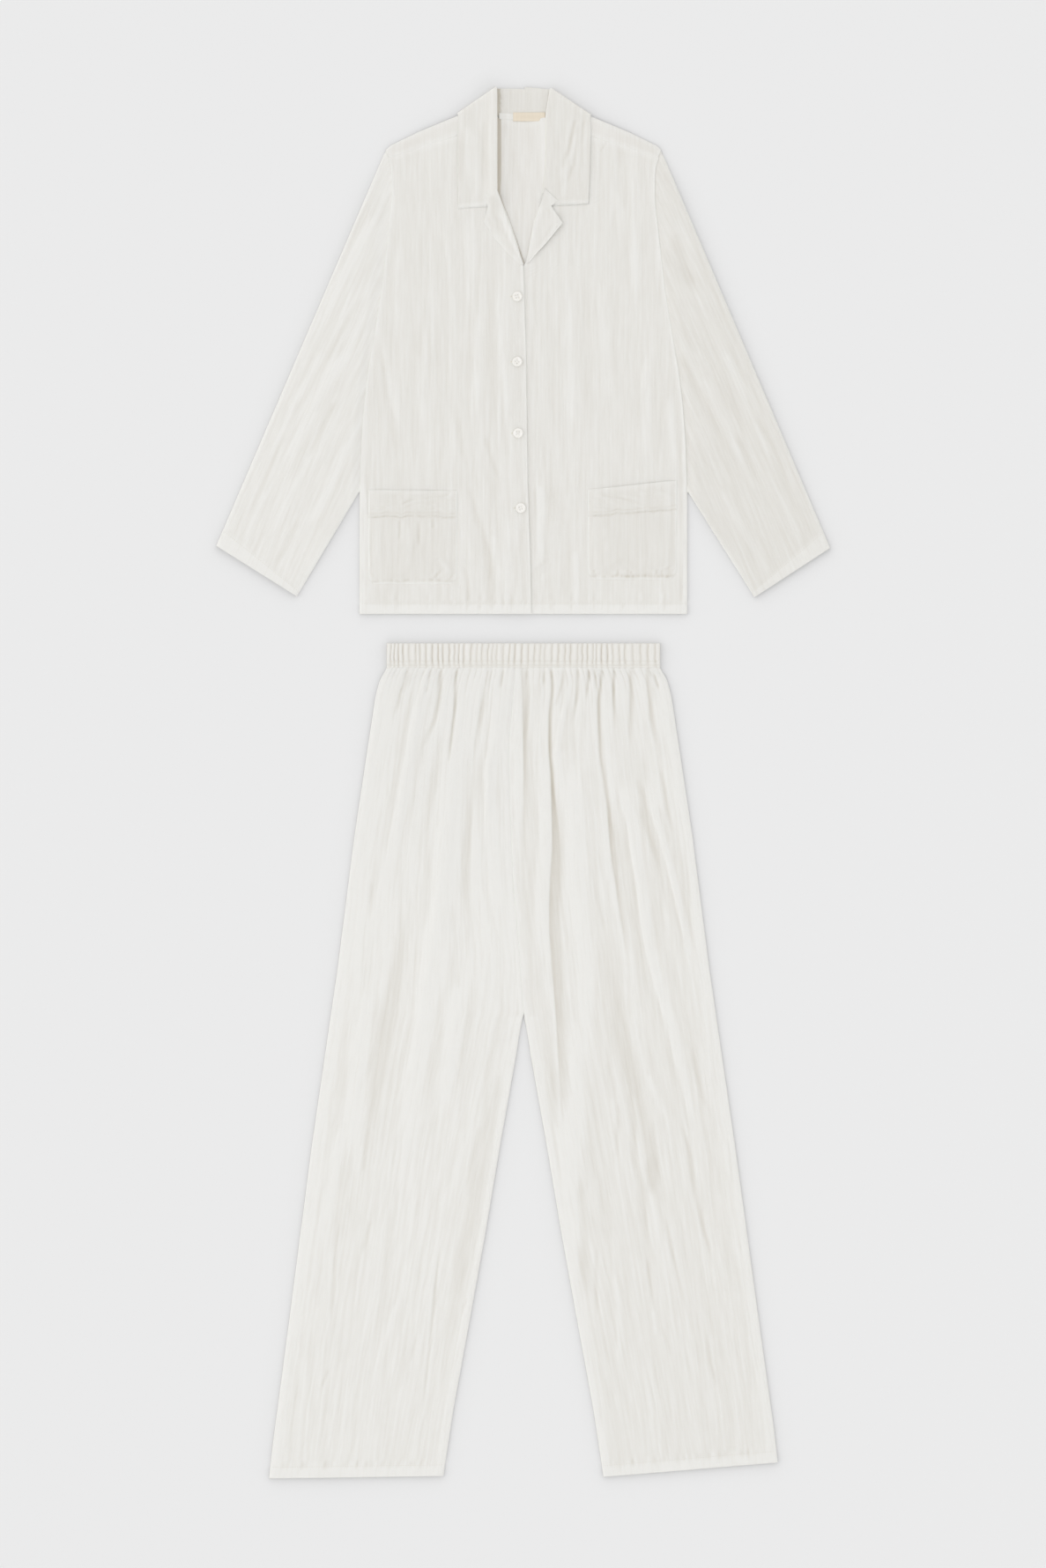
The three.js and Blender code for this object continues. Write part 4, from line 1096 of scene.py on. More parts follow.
def makeLapel(side):
    look = lapelLook
    table = leftLapel if side < 0 else rightLapel
    keys = np.linspace(0, 1, len(table))
    rows, columns = np.linspace(0, 1, look["rows"]), spread(look["columns"], 40, (0.3, 0.8))
    grid = np.array([[*roll, *edge] for roll, edge in table])
    rollX, rollY, edgeX, edgeY = (np.interp(rows, keys, grid[:, k])[:, None] for k in range(4))
    c = columns[None, :] if side > 0 else 1 - columns[None, :]
    x, y = rollX + (edgeX - rollX) * c, rollY + (edgeY - rollY) * c
    width = np.hypot(edgeX - rollX, edgeY - rollY)
    fromRoll = c * width
    relief = 0.6 * crinkle(x + 0.4 * y * side, y - 0.3 * x * side, 91 + side)
    relief += creases(x, y, lapelCreases[side])
    loft = look["leftRoll" if side < 0 else "rightRoll"] * bell(fromRoll, look["rollReach"])
    loft = loft * smooth((y - 436) / 30)
    seam = (-0.3 if side > 0 else -0.08) * bell(width - fromRoll - 2.4, 0.9)  # edge seam just inside
    base = jacket["frontMiddle"] + 1.25 + (overlapLift(x, y) if side < 0 else 0)
    rollDown = -1.6 * (1 - rounded(fromRoll, 2.2))
    lifted = look["tip"] * smooth(fromRoll / 30) * (1 if side > 0 else 0.1)  # the right tip stands off
    middle = base + (relief * 0.6 + loft) * smooth(fromRoll / 2) + seam + rollDown + lifted
    if side < 0:  # almost flush with the front, and its top runs up over the collar's end
        middle = middle - 0.5 * smooth((c - 0.55) / 0.45)
        collarTop = 4.35 + 0.95 * collarLook["leftRoll"] * bell(fromRoll, 12) * smooth((y - 505) / 25)
        over = smooth((rows[:, None] - 0.66) / 0.15)
    else:
        collarTop = 4.5 + 0.95 * collarLook["rightRoll"] * bell(fromRoll, 12)
        over = smooth((rows[:, None] - 0.72) / 0.1)
    middle = middle * (1 - over) + collarTop * over
    edge = fromEdges(c, width, rows[:, None], 80)
    edge = edge * (1 - (0.7 * over if side > 0 else 0))
    shape = newShape("jacket")
    # The lapel painted a little darker, more so where it runs over the collar's end
    addPanel(shape, x, y, middle, look["cloth"], edge, 0.9 if side > 0 else 3.0, -0.05 - 0.07 * over)
    fixFacing(shape)
    return shape, finishSide("lapel", "lapel", side, shape)


lapels = {side: makeLapel(side) for side in (-1, 1)}
print("lapels ready")


# Patch pockets

pocketLook = {
    "columns": 84, "rows": 86, "cloth": 0.6, "band": 33.0, "corner": 13.0, "middle": 3.08, "puff": 0.9,
    "stitchGap": 4.4,
}
leftPocketCreases = [
    ([(-153, 137), (-136, 143), (-98, 148), (-90, 155)], -0.9, 1.8, 2.6),
    ([(-151, 133), (-130, 138), (-103, 139)], -0.7, 1.8, 1.8),
    ([(-192, 132), (-180, 132), (-169, 132)], -0.6, 1.5, 1.5),
    ([(-125, 131), (-108, 132), (-87, 133)], -0.5, 1.5, 1.5),
    ([(-160, 145), (-140, 150), (-110, 152)], 0.7, 3, 3),
    ([(-155, 118), (-155, 105), (-156, 90)], -0.6, 2, 2),
    ([(-131, 116), (-131, 100), (-131, 84)], -0.6, 2, 2),
    ([(-114, 119), (-113, 112), (-113, 106)], -0.5, 2, 2),
    ([(-144, 110), (-143, 80), (-146, 56)], 0.5, 5, 5),
    ([(-112, 44), (-107, 50), (-102, 55)], -0.8, 2, 2),
    ([(-94, 38), (-90, 45), (-84, 54)], -0.7, 2, 2),
    ([(-106, 70), (-98, 60), (-92, 50)], 0.6, 4, 4),
]
rightPocketCreases = [
    ([(95, 148), (117, 145), (146, 139)], -0.9, 2, 2),
    ([(157, 129), (174, 130), (190, 130)], -0.8, 1.6, 1.6),
    ([(100, 140), (130, 135), (160, 134)], 0.6, 3, 3),
    ([(140, 150), (165, 150), (188, 146)], 0.6, 4, 4),
    ([(84, 134), (100, 132), (120, 130)], -0.5, 1.6, 1.6),
    ([(106, 58), (126, 66), (147, 60)], -0.8, 7, 5),
    ([(100, 110), (104, 90), (100, 74)], 0.4, 6, 6),
    ([(88, 56), (88, 50), (88, 45)], -0.7, 1.5, 1.5),
    ([(118, 56), (118, 50), (118, 45)], -0.7, 1.5, 1.5),
    ([(130, 56), (130, 50), (130, 45)], -0.6, 1.5, 1.5),
    ([(134, 54), (134, 50), (134, 45)], -0.6, 1.5, 1.5),
    ([(166, 56), (166, 50), (166, 45)], -0.7, 1.5, 1.5),
    ([(172, 56), (172, 50), (172, 45)], -0.6, 1.5, 1.5),
    ([(178, 60), (184, 50), (190, 40)], -0.9, 5, 5),
]


def makePocket(side, x, y, width, height, rise):
    look = pocketLook
    share, climb = spread(look["columns"], width), spread(look["rows"], height)
    s, r = np.meshgrid(share, climb)
    toMouth = s if side > 0 else 1 - s
    low = r * height
    corner = look["corner"] * (1 - rounded(low, look["corner"])) * 0.85  # lower corners are round
    px = x + corner + (width - 2 * corner) * s
    py = y + r * (height + rise * toMouth)
    fromTop = (1 - r) * height
    inBand = smooth((look["band"] - fromTop) / 1.2)
    relief = 0.8 * crinkle(px, py, 101 + side) * (1 - inBand)
    relief += 1.1 * crinkle(py * 1.7 + px * 0.15, px * 2, 111 + side) * inBand  # it runs across in the band
    relief += 1.1 * creases(px, py, leftPocketCreases if side < 0 else rightPocketCreases)
    waver = 1.2 * lineNoise(px / 9, 24)
    fromSeam = fromTop - look["band"] + waver
    bandStitch = -0.7 * bell(fromSeam, 1.1) - 0.4 * bell(fromSeam + look["stitchGap"], 1.0)
    toEdge = np.minimum(np.minimum(s, 1 - s) * (width - 2 * corner), low + 0.01)
    stitchLine = -0.22 * bell(toEdge - 3.0, 1.1) * (1 + noise(px / 5, py / 5, 23))
    settle = smooth(toEdge / 9)
    puff = look["puff"] * smooth(toEdge / 14) * smooth((fromTop + 5) / 12)
    middle = look["middle"] + (relief + puff) * settle * 0.9 + 0.3 * inBand + bandStitch * settle
    middle += stitchLine * (1 - 0.8 * (fromTop < 3))
    edge = np.minimum(toEdge, fromTop)
    shape = newShape("jacket")
    strong, wide = (0.6, 1.7) if side > 0 else (0.34, 1.3)
    seamShade = strong * bell(low - 4 - waver, wide)  # painted shade in the sewn lines, broken along them
    seamShade += 0.3 * bell(fromSeam, 1.0) + 0.16 * bell(fromSeam + look["stitchGap"], 0.9)
    seamShade *= 0.6 + 0.5 * noise(px / 5, py / 9, 29) + 0.4 * lineNoise(px / 1.7, 30)
    # Painted light along its edges; the whole pocket painted a little darker
    rim = 0.10 * bell(toEdge, 3.0)
    middle = np.maximum(middle, look["middle"] - 0.1)
    middle = middle - 0.32 * (1 - smooth(edge / 2.5))  # its edges lie on the front
    addPanel(shape, px, py, middle, look["cloth"], edge, 2.4, rim - 0.10 - seamShade, 0.3)
    return shape, finishSide("pocket", "pocket", side, shape)


pocketPieces = {row["side"]: makePocket(**row) for row in pockets}
print("pockets ready")


# Buttons, each with its own turn

buttonLook = {"radius": 6.3, "thick": 2.4, "hole": 0.85, "holeOffset": 1.45, "segments": 64, "level": 4.6}
buttonPlaces = [  # x, y, turn in degrees
    (-7.7, 396, 12), (-7.7, 314.6, 38), (-6.6, 225.5, 0), (-3.3, 132, 25),
]
buttonProfile = [  # radius share, height share of the upper side
    (0.02, 0.76), (0.14, 0.76), (0.2, 0.76), (0.26, 0.76), (0.32, 0.76), (0.38, 0.76), (0.44, 0.77),
    (0.52, 0.8),
    (0.6, 0.86), (0.68, 0.95), (0.76, 1.0), (0.84, 0.99), (0.91, 0.9), (0.97, 0.7), (1.0, 0.45),
]


def makeButton(number, centreX, centreY, turn):
    look = buttonLook
    shape = newShape("jacket")
    angle = np.linspace(0, 2 * np.pi, look["segments"] + 1)
    profile = np.array(buttonProfile)
    rings = np.concatenate([profile, [[0.97, 0.16], [0.88, 0.03], [0.5, 0.0], [0.02, 0.0]]])
    ring, swing = np.meshgrid(rings[:, 0], angle, indexing="ij")
    upper = (np.arange(len(rings)) < len(profile))[:, None]
    lx, ly = ring * look["radius"] * np.cos(swing), ring * look["radius"] * np.sin(swing)
    z = np.repeat(rings[:, 1:2] * look["thick"], len(angle), 1)
    for holeX in (-1, 1):
        for holeY in (-1, 1):
            distance = np.hypot(lx - holeX * look["holeOffset"], ly - holeY * look["holeOffset"])
            z = z - np.where(upper, 1.1 * smooth((look["hole"] * 1.25 - distance) / 0.45), 0)
    c, s = math.cos(math.radians(turn)), math.sin(math.radians(turn))
    x, y = centreX + lx * c - ly * s, centreY + lx * s + ly * c
    index = addGrid(shape, x, y, z + look["level"], x, y, 0.0)
    gridQuads(shape, index, False)
    fixFacing(shape)
    shape["area"] = 0
    piece = finishPiece(f"button{number}", shape, pearl, [f"button_{number}"])
    return shape, piece


buttonShapes = [makeButton(n + 1, *row)[0] for n, row in enumerate(buttonPlaces)]
print("buttons ready")


# Label at the back neck and the tape beside it

labelSize = {"fromX": -12.8, "toX": 27.2, "y": 620.4, "height": 11.0, "thick": 0.7, "level": 3.35, "sag": 0.0}
tapeSize = {"fromX": -30.5, "toX": 28.5, "y": 620.6, "height": 7.6, "thick": 0.7, "level": 2.6, "sag": 1.2}


def makeTape(name, size, material, replaced=()):
    shape = newShape("jacket")
    width, height = size["toX"] - size["fromX"], size["height"]
    share, climb = spread(44, width), spread(12, height, (0.25, 0.6))
    s, r = np.meshgrid(share, climb)
    x, y = size["fromX"] + width * s, size["y"] + height * (r - 0.5)
    y = y + size["sag"] * (np.abs(x) / 34) ** 2
    middle = size["level"] + 0.15 * np.sin(s * 9) * np.sin(np.pi * r) + 0.1 * crinkle(x * 2, y * 2, 7)
    addPanel(shape, x, y, middle, size["thick"], fromEdges(s, width, r, height), 0.5)
    return shape, finishPiece(name, shape, material, replaced)


labelShape, labelPiece = makeTape("neckLabel", labelSize, labelTape, ["neck_label"])
tapeShape, tapePiece = makeTape("neckTape", tapeSize, gauzeOutside)
print("label ready")


# Trousers

trousers = {
    "waistHalf": 170.5, "legTop": 1012.2, "crotch": 578.0, "hem": 15.0, "cloth": 1.0,
    "backMiddle": 0.6, "frontMiddle": 3.1, "columns": 206, "rows": 172, "backColumns": 48, "backRows": 60,
}
hemSkew = {-1: (-3, 3), 1: (18, 2)}  # each hem's rise to its outer end, and its height at the inner one
outerLeg = [
    (0, 317.5), (41, 313), (196, 292.5), (416, 264), (636, 232), (801, 211), (911, 194.5), (977, 184.5),
    (999, 178.5), (1008, 172.5), (1012.2, 169.5),
]
inseam = [(0, 100), (86, 87), (196, 67), (306, 47.3), (416, 29), (526, 9.4), (559, 4.4), (578, 0.3)]
centreSeam = [(578, 1), (658, -4.4), (746, -12), (825, -15.4), (911, -17.6), (1012.2, -9)]
legCreases = [  # path, height, width left, width right, fade at the start and at the end
    # upper left leg
    ([(-144, 1009), (-147, 994), (-153, 982), (-157, 966), (-165, 948), (-178, 913)], -1.2, 2.6, 4.7, 0, 0.7),
    ([(-126, 1007), (-129, 993), (-133, 975), (-140, 955)], -0.9, 3, 3.4, 0, 0.7),
    ([(-116, 1007), (-120, 987), (-124, 973)], -1.3, 1.9, 2.4, 0, 0.4),
    ([(-103, 1009), (-104, 990), (-106, 970), (-112, 944), (-120, 925), (-124, 913)], -1.4, 3.5, 4, 0, 0.4),
    ([(-84, 1009), (-85, 990), (-86, 962), (-89, 935), (-92, 910), (-95, 887)], -1.4, 1.8, 3, 0, 0.3),
    ([(-43, 1007), (-46, 987), (-51, 967), (-55, 944), (-58, 925), (-60, 905), (-60, 882)],
     -0.9, 3, 7, 0, 0.5),
    ([(-26, 1009), (-28, 996), (-31, 985)], -0.9, 2.4, 2.7, 0, 0.6),
    ([(-2, 1009), (-1, 980), (0, 950), (1, 900), (1, 850), (2, 790)], -0.9, 1.4, 8.1, 0, 0.5),
    ([(-123, 1005), (-126, 986), (-133, 956), (-139, 925), (-143, 898), (-149, 867), (-154, 836), (-160, 805),
      (-168, 765), (-180, 715), (-195, 661)], 1.9, 6, 8, 0.05, 0.5),
    ([(-84, 904), (-90, 882), (-93, 851), (-95, 820), (-100, 797), (-104, 741), (-109, 700), (-118, 645),
     (-126, 581),
      (-134, 528), (-141, 488), (-147, 400), (-150, 300), (-154, 200)], 2.5, 10, 17, 0.15, 0.5),
    ([(-27, 990), (-32, 962), (-35, 932), (-38, 910), (-43, 890), (-44, 867), (-44, 836), (-42, 790),
     (-38, 740),
      (-36, 690)], 1.9, 5, 9, 0.1, 0.5),
    ([(-20, 930), (-20, 880), (-22, 830)], 0.6, 1.5, 1.5),
    ([(-100, 945), (-104, 915), (-110, 880), (-117, 845), (-124, 800), (-130, 750)], -0.9, 7, 6),
    ([(-64, 885), (-66, 850), (-68, 820), (-70, 770), (-70, 700), (-72, 620)], -0.9, 9, 6, 0.4, 0.5),
    ([(-20, 815), (-15, 806), (-17, 796)], -0.5, 2, 2),
    ([(-14, 762), (-12, 742), (-13, 725)], -0.6, 2, 2),
    ([(-10, 725), (-6, 690), (-2, 640), (0, 600)], -0.6, 1.8, 1.8),
    # lower left leg
    ([(-146, 760), (-147, 700), (-160, 620), (-172, 555), (-181, 470), (-186, 380)], -1.3, 12, 12, 0.45, 0.4),
    ([(-200, 610), (-205, 540), (-212, 455), (-220, 380)], 1.1, 12, 12),
    ([(-26, 505), (-34, 470), (-47, 402), (-70, 287), (-86, 205), (-92, 150)], -0.7, 12, 12),
    ([(-188, 748), (-191, 720), (-193, 690)], -0.4, 3.6, 3.6),
    ([(-199, 538), (-209, 495), (-213, 462)], 0.8, 6, 6),
    ([(-191, 442), (-198, 396), (-199, 383)], -0.35, 3.6, 3.6),
    ([(-191, 323), (-196, 300), (-201, 284)], -0.4, 3.6, 3),
    ([(-228, 323), (-234, 290), (-236, 251), (-239, 211), (-242, 168)], -0.45, 3, 3),
    ([(-103, 294), (-109, 251), (-113, 201), (-119, 152), (-123, 112), (-123, 86)], -0.55, 2.2, 2.2),
    ([(-133, 181), (-137, 160), (-139, 145)], -0.35, 2.4, 2.4),
    ([(-242, 139), (-248, 124), (-254, 109)], -0.35, 2.4, 2.4),
    ([(-145, 274), (-152, 231), (-165, 198), (-172, 165)], 0.4, 3.6, 7.2),
    ([(-53, 442), (-60, 412), (-66, 383), (-69, 343)], -0.45, 4.8, 3.6),
    ([(-36, 449), (-40, 432), (-43, 416)], -0.35, 3, 3),
    ([(-70, 224), (-74, 214), (-77, 205)], -0.3, 3, 3),
    ([(-80, 620), (-90, 540), (-104, 450)], 1.2, 12, 12),
    ([(-228, 440), (-240, 360), (-252, 280)], 0.8, 10, 8),
    ([(-286, 150), (-292, 100), (-296, 60)], -0.25, 3.6, 3.6),
    # upper right leg
    ([(5, 1007), (6, 982), (5, 959), (3, 913), (5, 867)], -0.6, 4, 3, 0, 0.5),
    ([(24, 1009), (25, 998), (27, 988)], -1.0, 2.4, 2.7, 0, 0.5),
    ([(34, 1007), (36, 993), (35, 975), (33, 955), (32.5, 928), (33, 905), (35, 882), (36, 859), (37, 836),
     (38, 790),
      (35, 746), (33, 700), (35, 655)], -1.6, 1.8, 3.5, 0, 0.3),
    ([(36, 870), (37, 836), (38, 790), (36, 746), (34, 700), (36, 655), (40, 600), (45, 520), (50, 440),
     (57, 350)],
     -2.2, 1.6, 10, 0.3, 0.6),
    ([(22, 900), (26, 850), (27, 800), (24, 740), (23, 690), (25, 640)], 1.0, 8, 7),
    ([(49, 1007), (48, 993), (43, 975), (38, 962)], -0.9, 2.4, 3.4, 0, 0.5),
    ([(67, 1009), (67, 982), (64, 960), (60, 940)], -1.2, 2.4, 2.7, 0, 0.6),
    ([(57, 990), (49, 952), (43, 921), (40, 900)], 1.3, 3, 3.5, 0.1, 0.3),
    ([(82, 1007), (80, 990), (79, 970)], -1.1, 2.2, 2.4, 0, 0.5),
    ([(89, 1007), (91, 990), (92, 980)], -0.9, 1.9, 2.2, 0, 0.5),
    ([(97, 1007), (96, 990), (94, 975), (94, 951), (95, 928), (96.5, 901), (100, 878), (103, 855), (106, 836),
      (108, 813), (110, 790), (114, 760), (119, 725), (124, 693), (130, 660)], -1.4, 2.2, 3.5, 0, 0.45),
    ([(103, 850), (108, 813), (113, 770), (119, 725), (126, 680), (134, 630)], -0.9, 2.5, 12, 0.3, 0.5),
    ([(113, 1009), (112.5, 993), (112, 975), (113, 955), (113, 925)], -1.2, 1.8, 2.4, 0, 0.4),
    ([(133, 1009), (134, 982), (134, 967), (133, 928), (136, 890)], -1.2, 2.4, 4.7, 0, 0.6),
    ([(154, 1007), (156.5, 982), (158, 956), (161, 936), (166, 913), (171, 875)], -1.2, 2.4, 6.1, 0, 0.6),
    ([(163, 1007), (166, 994), (170, 984)], -1.1, 1.9, 2.2, 0, 0.4),
    ([(168, 1009), (173, 1001)], -1.2, 1.4, 1.4, 0, 0.4),
    ([(122, 867), (126, 840), (133, 816), (137, 786), (146, 730), (154, 670), (172, 600),
      (190, 530), (212, 440), (226, 380)], 1.6, 4, 9, 0.15, 0.5),
    ([(159, 844), (165, 821), (173, 797), (189, 735), (202, 678), (208, 645), (218, 613)],
     1.4, 3, 5, 0.15, 0.5),
    ([(140, 875), (148, 855), (153, 821), (162, 790), (172, 755), (182, 700)], -1.0, 5, 5, 0.2, 0.4),
    ([(171, 887), (176, 859), (180, 836), (188, 800)], -0.9, 4, 3),
    ([(60, 900), (64, 840), (68, 760), (74, 680), (76, 610), (69, 517), (72, 417), (84, 287)],
     1.4, 13, 14, 0.2, 0.4),
    # lower right leg
    ([(98, 720), (106, 646), (121, 555), (138, 490), (152, 440), (167, 364), (176, 300)],
     -1.4, 13, 13, 0.45, 0.35),
    ([(104, 521), (108, 488), (111, 469)], -0.4, 3.6, 3.6),
    ([(118, 469), (117, 430), (116, 396)], -0.35, 3.6, 3.6),
    ([(128, 488), (137, 449), (141, 396), (151, 350), (154, 304), (161, 284)], -0.8, 7, 4),
    ([(160, 403), (160, 376), (160, 350)], -0.7, 12, 8),
    ([(154, 505), (167, 475), (177, 449)], 0.4, 4.8, 4.8),
    ([(194, 449), (207, 409), (213, 363), (223, 317), (232, 284), (240, 247)], -0.5, 3, 3),
    ([(190, 528), (194, 516), (197, 505)], 0.3, 3.6, 3.6),
    ([(209, 538), (220, 488), (227, 462)], -0.4, 3.6, 3.6),
    ([(176, 330), (184, 290), (194, 247), (203, 208)], -0.45, 3, 3),
    ([(154, 277), (158, 240), (161, 211)], -0.4, 3, 3),
    ([(91, 294), (91, 231), (93, 201)], -0.4, 3, 3),
    ([(65, 274), (63, 231), (66, 214)], 0.45, 3.6, 3.6),
    ([(113, 340), (114, 251), (119, 191), (119, 158), (116, 139)], 0.4, 3.6, 7.2),
    ([(161, 211), (163, 190), (164, 175)], 0.3, 3.6, 3.6),
    ([(227, 185), (233, 145), (243, 112)], -0.35, 3, 3),
    ([(175, 188), (180, 168), (184, 148)], -0.35, 3, 3),
    ([(50, 480), (56, 400), (64, 330), (76, 270)], 1.1, 12, 12),
    ([(28, 560), (34, 500), (42, 430)], -0.5, 10, 6, 0.4, 0.4),
    ([(70, 380), (74, 300), (82, 220)], -0.7, 8, 8),
]


def legOutline(rise, side):
    y = rise * trousers["legTop"]
    upper = y >= trousers["crotch"]
    lap = 0.9 * smooth((y - trousers["crotch"]) / 12)  # the right leg lies over the left one at the seam
    inner = np.where(upper, along(centreSeam, y, 8) + side * 0.1 - lap * side, side * along(inseam, y, 6))
    return y, inner, side * along(outerLeg, y, 5)


def gatherPhase(waistX):  # uneven gathers: whole numbers are troughs
    gaps = 7.1 * (1 + 0.5 * lineNoise(np.arange(48) * 1.7, 5))
    edges = np.concatenate([[0], np.cumsum(gaps)])
    edges = edges / edges[-1] * 2 * trousers["waistHalf"] - trousers["waistHalf"]
    return np.interp(waistX, edges, np.arange(49))


def makeLeg(side, front):
    look = trousers
    shape = newShape("trousers")
    columns, rows = (look["columns"], look["rows"]) if front else (look["backColumns"], look["backRows"])
    share, climb = spread(columns, 200), spread(rows, 1012)
    s, r = np.meshgrid(share, climb)
    if front:
        r = r ** 0.93  # rows lie closer near the waist
    toOuter = s if side > 0 else 1 - s
    y, inner, outer = legOutline(r, side)
    x = inner + (outer - inner) * toOuter
    width = np.abs(outer - inner)
    lowPart = np.clip(1 - y / 420, 0, 1)
    slope, start = hemSkew[side]
    hemY = lowPart * (slope * toOuter + start)
    fromHem = y
    y = y + hemY
    edge = fromEdges(s, width, r, 1000)
    u = (toOuter - 0.5) * 210 * side
    relief = crinkle(u, y, 121 + side + (0 if front else 6))
    toSide = np.minimum(toOuter, 1 - toOuter) * width
    if front:
        waistX = -9 + (side * 169.5 + 9) * toOuter
        phase = gatherPhase(waistX) + 0.15 * noise(y / 14, waistX / 30, 3)
        gather = 1 - np.abs(np.sin(np.pi * phase)) ** 0.8
        depth = np.exp(-(look["legTop"] - y) / (16 + 9 * lineNoise(np.floor(phase), 8)))
        relief = relief + creases(x, y, legCreases) - 1.1 * gather * np.clip(depth, 0, 1)
        swell = creases(x, y, [row for row in legCreases if max(row[2], row[3]) >= 8])
        relief = relief + 1.2 * smooth((y - 760) / 180)
    hemZone = smooth((fromHem - look["hem"] + 2) / 6)
    relief = relief * (0.45 + 0.55 * hemZone)
    hem = hemFold(fromHem, look["hem"], 0.8, 1 + 0.5 * lineNoise(x / 12, 27), 1 + 0.6 * lineNoise(x / 4, 28))
    seamSide = np.where(y > look["crotch"], (1 - toOuter) * width, toSide)  # the centre seam doesn't roll
    if front:
        settle = smooth(toSide / 8)
        middle = look["frontMiddle"] + relief * (0.25 + 0.75 * settle) + hem
        middle = middle - 1.9 * (1 - rounded(seamSide, 6))
        toCentre = toOuter * width
        centre = bell(toCentre, 2.2) * smooth((y - look["crotch"]) / 12)
        pucker = 0.3 * lineNoise(y / 5, 15) * bell(toCentre, 6)
        pucker *= smooth((toCentre - 2) / 3) * (y > look["crotch"])
        middle = middle + pucker + centre * (0.25 if side > 0 else -0.85)
        middle = np.maximum(middle, 1.0 + 1.1 * smooth(seamSide / 4))
    else:
        middle = np.maximum(look["backMiddle"] + 0.12 * relief, 0.55)
    # Painted light: the hem band lighter, broad ridges lighter and broad troughs darker, the left leg lighter
    # as the light falls from the left, and the upper legs lighter
    paintedLight = 0.15 * smooth((look["hem"] - fromHem) / 0.8)
    if front:
        upper = smooth((y - 520) / 160)
        paintedLight = paintedLight + 0.10 * swell + (0.053 + 0.07 * upper if side < 0 else 0.037 * upper)
    addPanel(shape, x, y, middle, look["cloth"], edge, paintedLight=paintedLight, broadShare=1.6, u=u)
    if front:
        return shape, finishSide("legFront", "leg_front", side, shape)
    return shape, finishSide("legBack", "leg_back", side, shape, gauzeInside)


legFronts = {side: makeLeg(side, True) for side in (-1, 1)}
legBacks = {side: makeLeg(side, False) for side in (-1, 1)}
print("legs ready")


band = {
    "height": 31.5, "columns": 480, "rows": 34, "backColumns": 240, "backRows": 14,
    "frontLow": 2.7, "frontThick": 2.2, "backThick": 2.3, "gather": 1.15, "stitchRows": (4.2, 9.0),
    "roll": 2.4,
}


def makeBand(front):
    look = band
    shape = newShape("trousers")
    half = trousers["waistHalf"]
    columns, rows = (look["columns"], look["rows"]) if front else (look["backColumns"], look["backRows"])
    share, climb = spread(columns, 2 * half, (0.3, 0.7)), spread(rows, look["height"], (0.3, 0.7))
    s, r = np.meshgrid(share, climb)
    x = (2 * s - 1) * half
    up = r * look["height"]
    y = waistTop - look["height"] + up
    lean = 1.3 * noise(x / 60, up / 40, 12)
    phase = gatherPhase(x + lean * (up / 20 - 0.5) + 0.5 * noise(x / 9, up / 7, 14))
    size = 0.7 + 0.45 * lineNoise(np.floor(phase) * 1.3, 21)
    puff = np.abs(np.sin(np.pi * phase)) ** 0.75
    fullness = smooth((up - 2) / 8) * (0.55 + 0.45 * smooth((look["height"] - up) / 5))
    wave = look["gather"] * size * (puff - 0.5) * (0.35 + 0.65 * fullness)
    small = 0.22 * noise(x / 2.6, up / 12, 17)
    grooves = sum(0.75 * bell(up - row, 0.9) for row in look["stitchRows"])
    fromTop = look["height"] - up
    y = y - (0.5 * (1 - puff) * smooth(1 - fromTop / 4) if front else 0)
    if front:
        base = look["frontLow"]
        rise = look["frontThick"] + wave + small - grooves * (0.7 + 0.3 * puff)
        turn = rounded(np.minimum(fromTop, (1 - np.abs(2 * s - 1)) * half), look["roll"])
        rise = rise * (0.25 + 0.75 * turn) * np.where(up < 1.5, 0.45 + 0.55 * up / 1.5, 1)
        top, low = np.maximum(base + rise, base + 0.1), np.full_like(rise, base - 0.05)
        # painted shade in the gathers' troughs
        addWall(shape, (x, y, top), (x, y, low), x, y, paintedShadeOf(wave * 2.3, 0, 5) + 0.05)
    else:
        top = look["backThick"] * (0.3 + 0.7 * rounded(fromEdges(s, 2 * half, r, look["height"]), 2.0))
        # painted shade from its relief
        addWall(shape, (x, y, top), (x, y, np.full_like(top, 0.05)), x, y, paintedShadeOf(top))
    name = "waistbandFront" if front else "waistbandBack"
    node = "waistband_front" if front else "waistband_back"
    return shape, finishPiece(name, shape, gauzeBand, [node])


bandFront, bandBack = makeBand(True), makeBand(False)
print("waistband ready")


# Sewing thread: hems, pockets, waistband and buttons

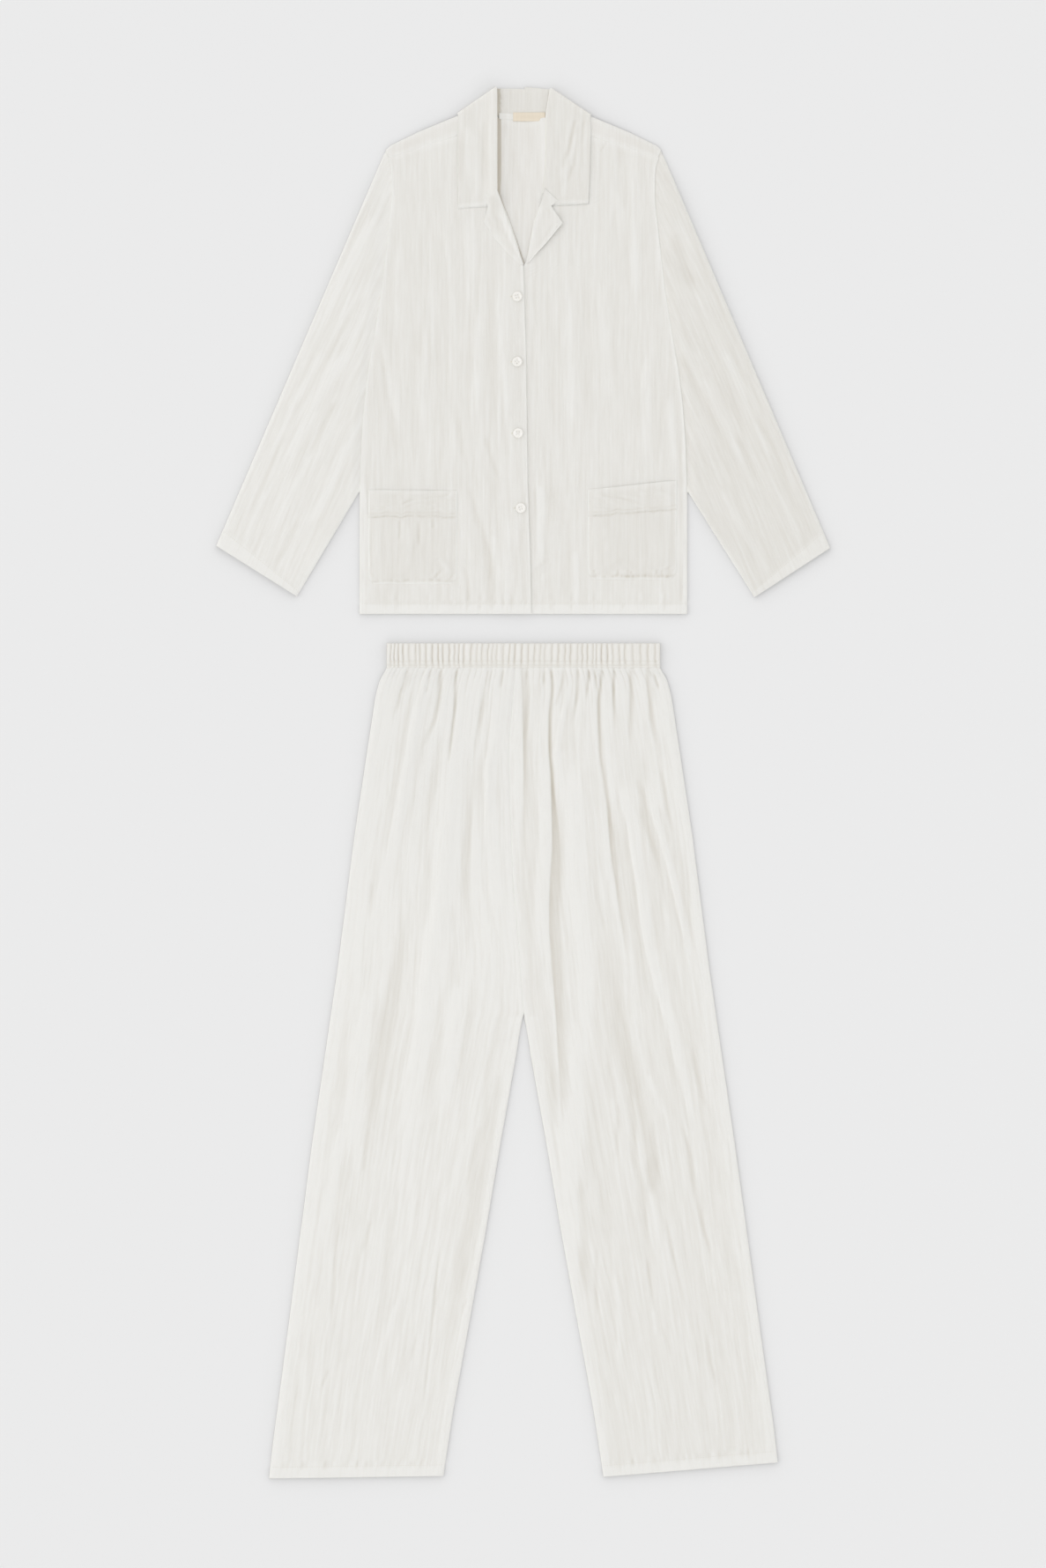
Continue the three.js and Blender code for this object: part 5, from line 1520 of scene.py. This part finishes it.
def sewJacket():
    onFront = topOf(fronts[-1][0], fronts[1][0])
    onSleeves = topOf(sleevePieces[-1][0], sleevePieces[1][0])
    onPockets = topOf(pocketPieces[-1][0], pocketPieces[1][0])
    onButtons = topOf(*buttonShapes)
    hemThread = newShape("jacket")
    half, hem = jacket["bodyHalf"], jacket["hem"]
    addStitches(hemThread, [(-half + 2, hem - 1), (half - 2, hem - 1)], onFront)
    for row in sleeves:
        (ix, iy), (ox, oy) = row["cuffInner"], row["cuffOuter"]
        up = sleeveLook["cuffHem"] / sleeveLook["length"]
        start = (row["side"] * (ix + (204 - ix) * up), iy + (jacket["sideSeamTop"] - iy) * up)
        end = (row["side"] * (ox + (jacket["shoulderX"] - ox) * up), oy + (579 - oy) * up)
        addStitches(hemThread, [start, end], onSleeves)
    finishPiece("hemThread", hemThread, thread)
    pocketThread = newShape("jacket")
    for box in pockets:
        inset, corner = 3.0, pocketLook["corner"] * 0.8
        x0, x1 = box["x"] + inset, box["x"] + box["width"] - inset
        y0, y1 = box["y"] + inset, box["y"] + box["height"] - 1
        path = [(x0, y1), (x0, y0 + corner), (x0 + corner, y0)]
        path += [(x1 - corner, y0), (x1, y0 + corner), (x1, y1)]
        addStitches(pocketThread, path, onPockets)
        for up in (0, pocketLook["stitchGap"]):
            level = box["y"] + box["height"] - pocketLook["band"] + up - 0.5
            lift = box["rise"] * 0.75
            ends = [(x0, level), (x1, level + lift)] if box["side"] > 0 else [(x0, level + lift), (x1, level)]
            addStitches(pocketThread, ends, onPockets)
    finishPiece("pocketThread", pocketThread, thread)
    buttonThread = newShape("jacket")
    for x, y, turn in buttonPlaces:
        c, s = math.cos(math.radians(turn)), math.sin(math.radians(turn))
        o = buttonLook["holeOffset"]
        for sideY in (-o, o):
            ends = [(x + px * c - sideY * s, y + px * s + sideY * c) for px in (-o, o)]
            addStitch(buttonThread, *ends[0], *ends[1], onButtons(x, y) + 0.05, 0.75)
        for barX in x - 8.6 + 0.28 * np.arange(9):  # bar at the end of the buttonhole, beside the button
            addStitch(buttonThread, barX, y - 1.1, barX, y + 1.1, onFront(x - 8, y), 0.34)
    finishPiece("buttonThread", buttonThread, thread)


def sewTrousers():
    onLegs = topOf(legFronts[-1][0], legFronts[1][0])
    onBand = topOf(bandFront[0])
    legThread = newShape("trousers")
    for side in (-1, 1):
        slope, start = hemSkew[side]
        y = trousers["hem"] - 1
        inner = float(along(inseam, y)) + 2
        outer = float(along(outerLeg, y)) - 2
        ends = [(side * inner, y + start), (side * outer, y + start + slope)]
        addStitches(legThread, ends, onLegs)
    finishPiece("legHemThread", legThread, thread)
    bandThread = newShape("trousers")
    half = trousers["waistHalf"]
    for row in band["stitchRows"]:
        y = waistTop - band["height"] + row
        addStitches(bandThread, [(-half + 2, y), (half - 2, y)], onBand, pitch=2.6, length=1.9)
    finishPiece("bandThread", bandThread, thread)


sewJacket()
sewTrousers()
print("thread ready")
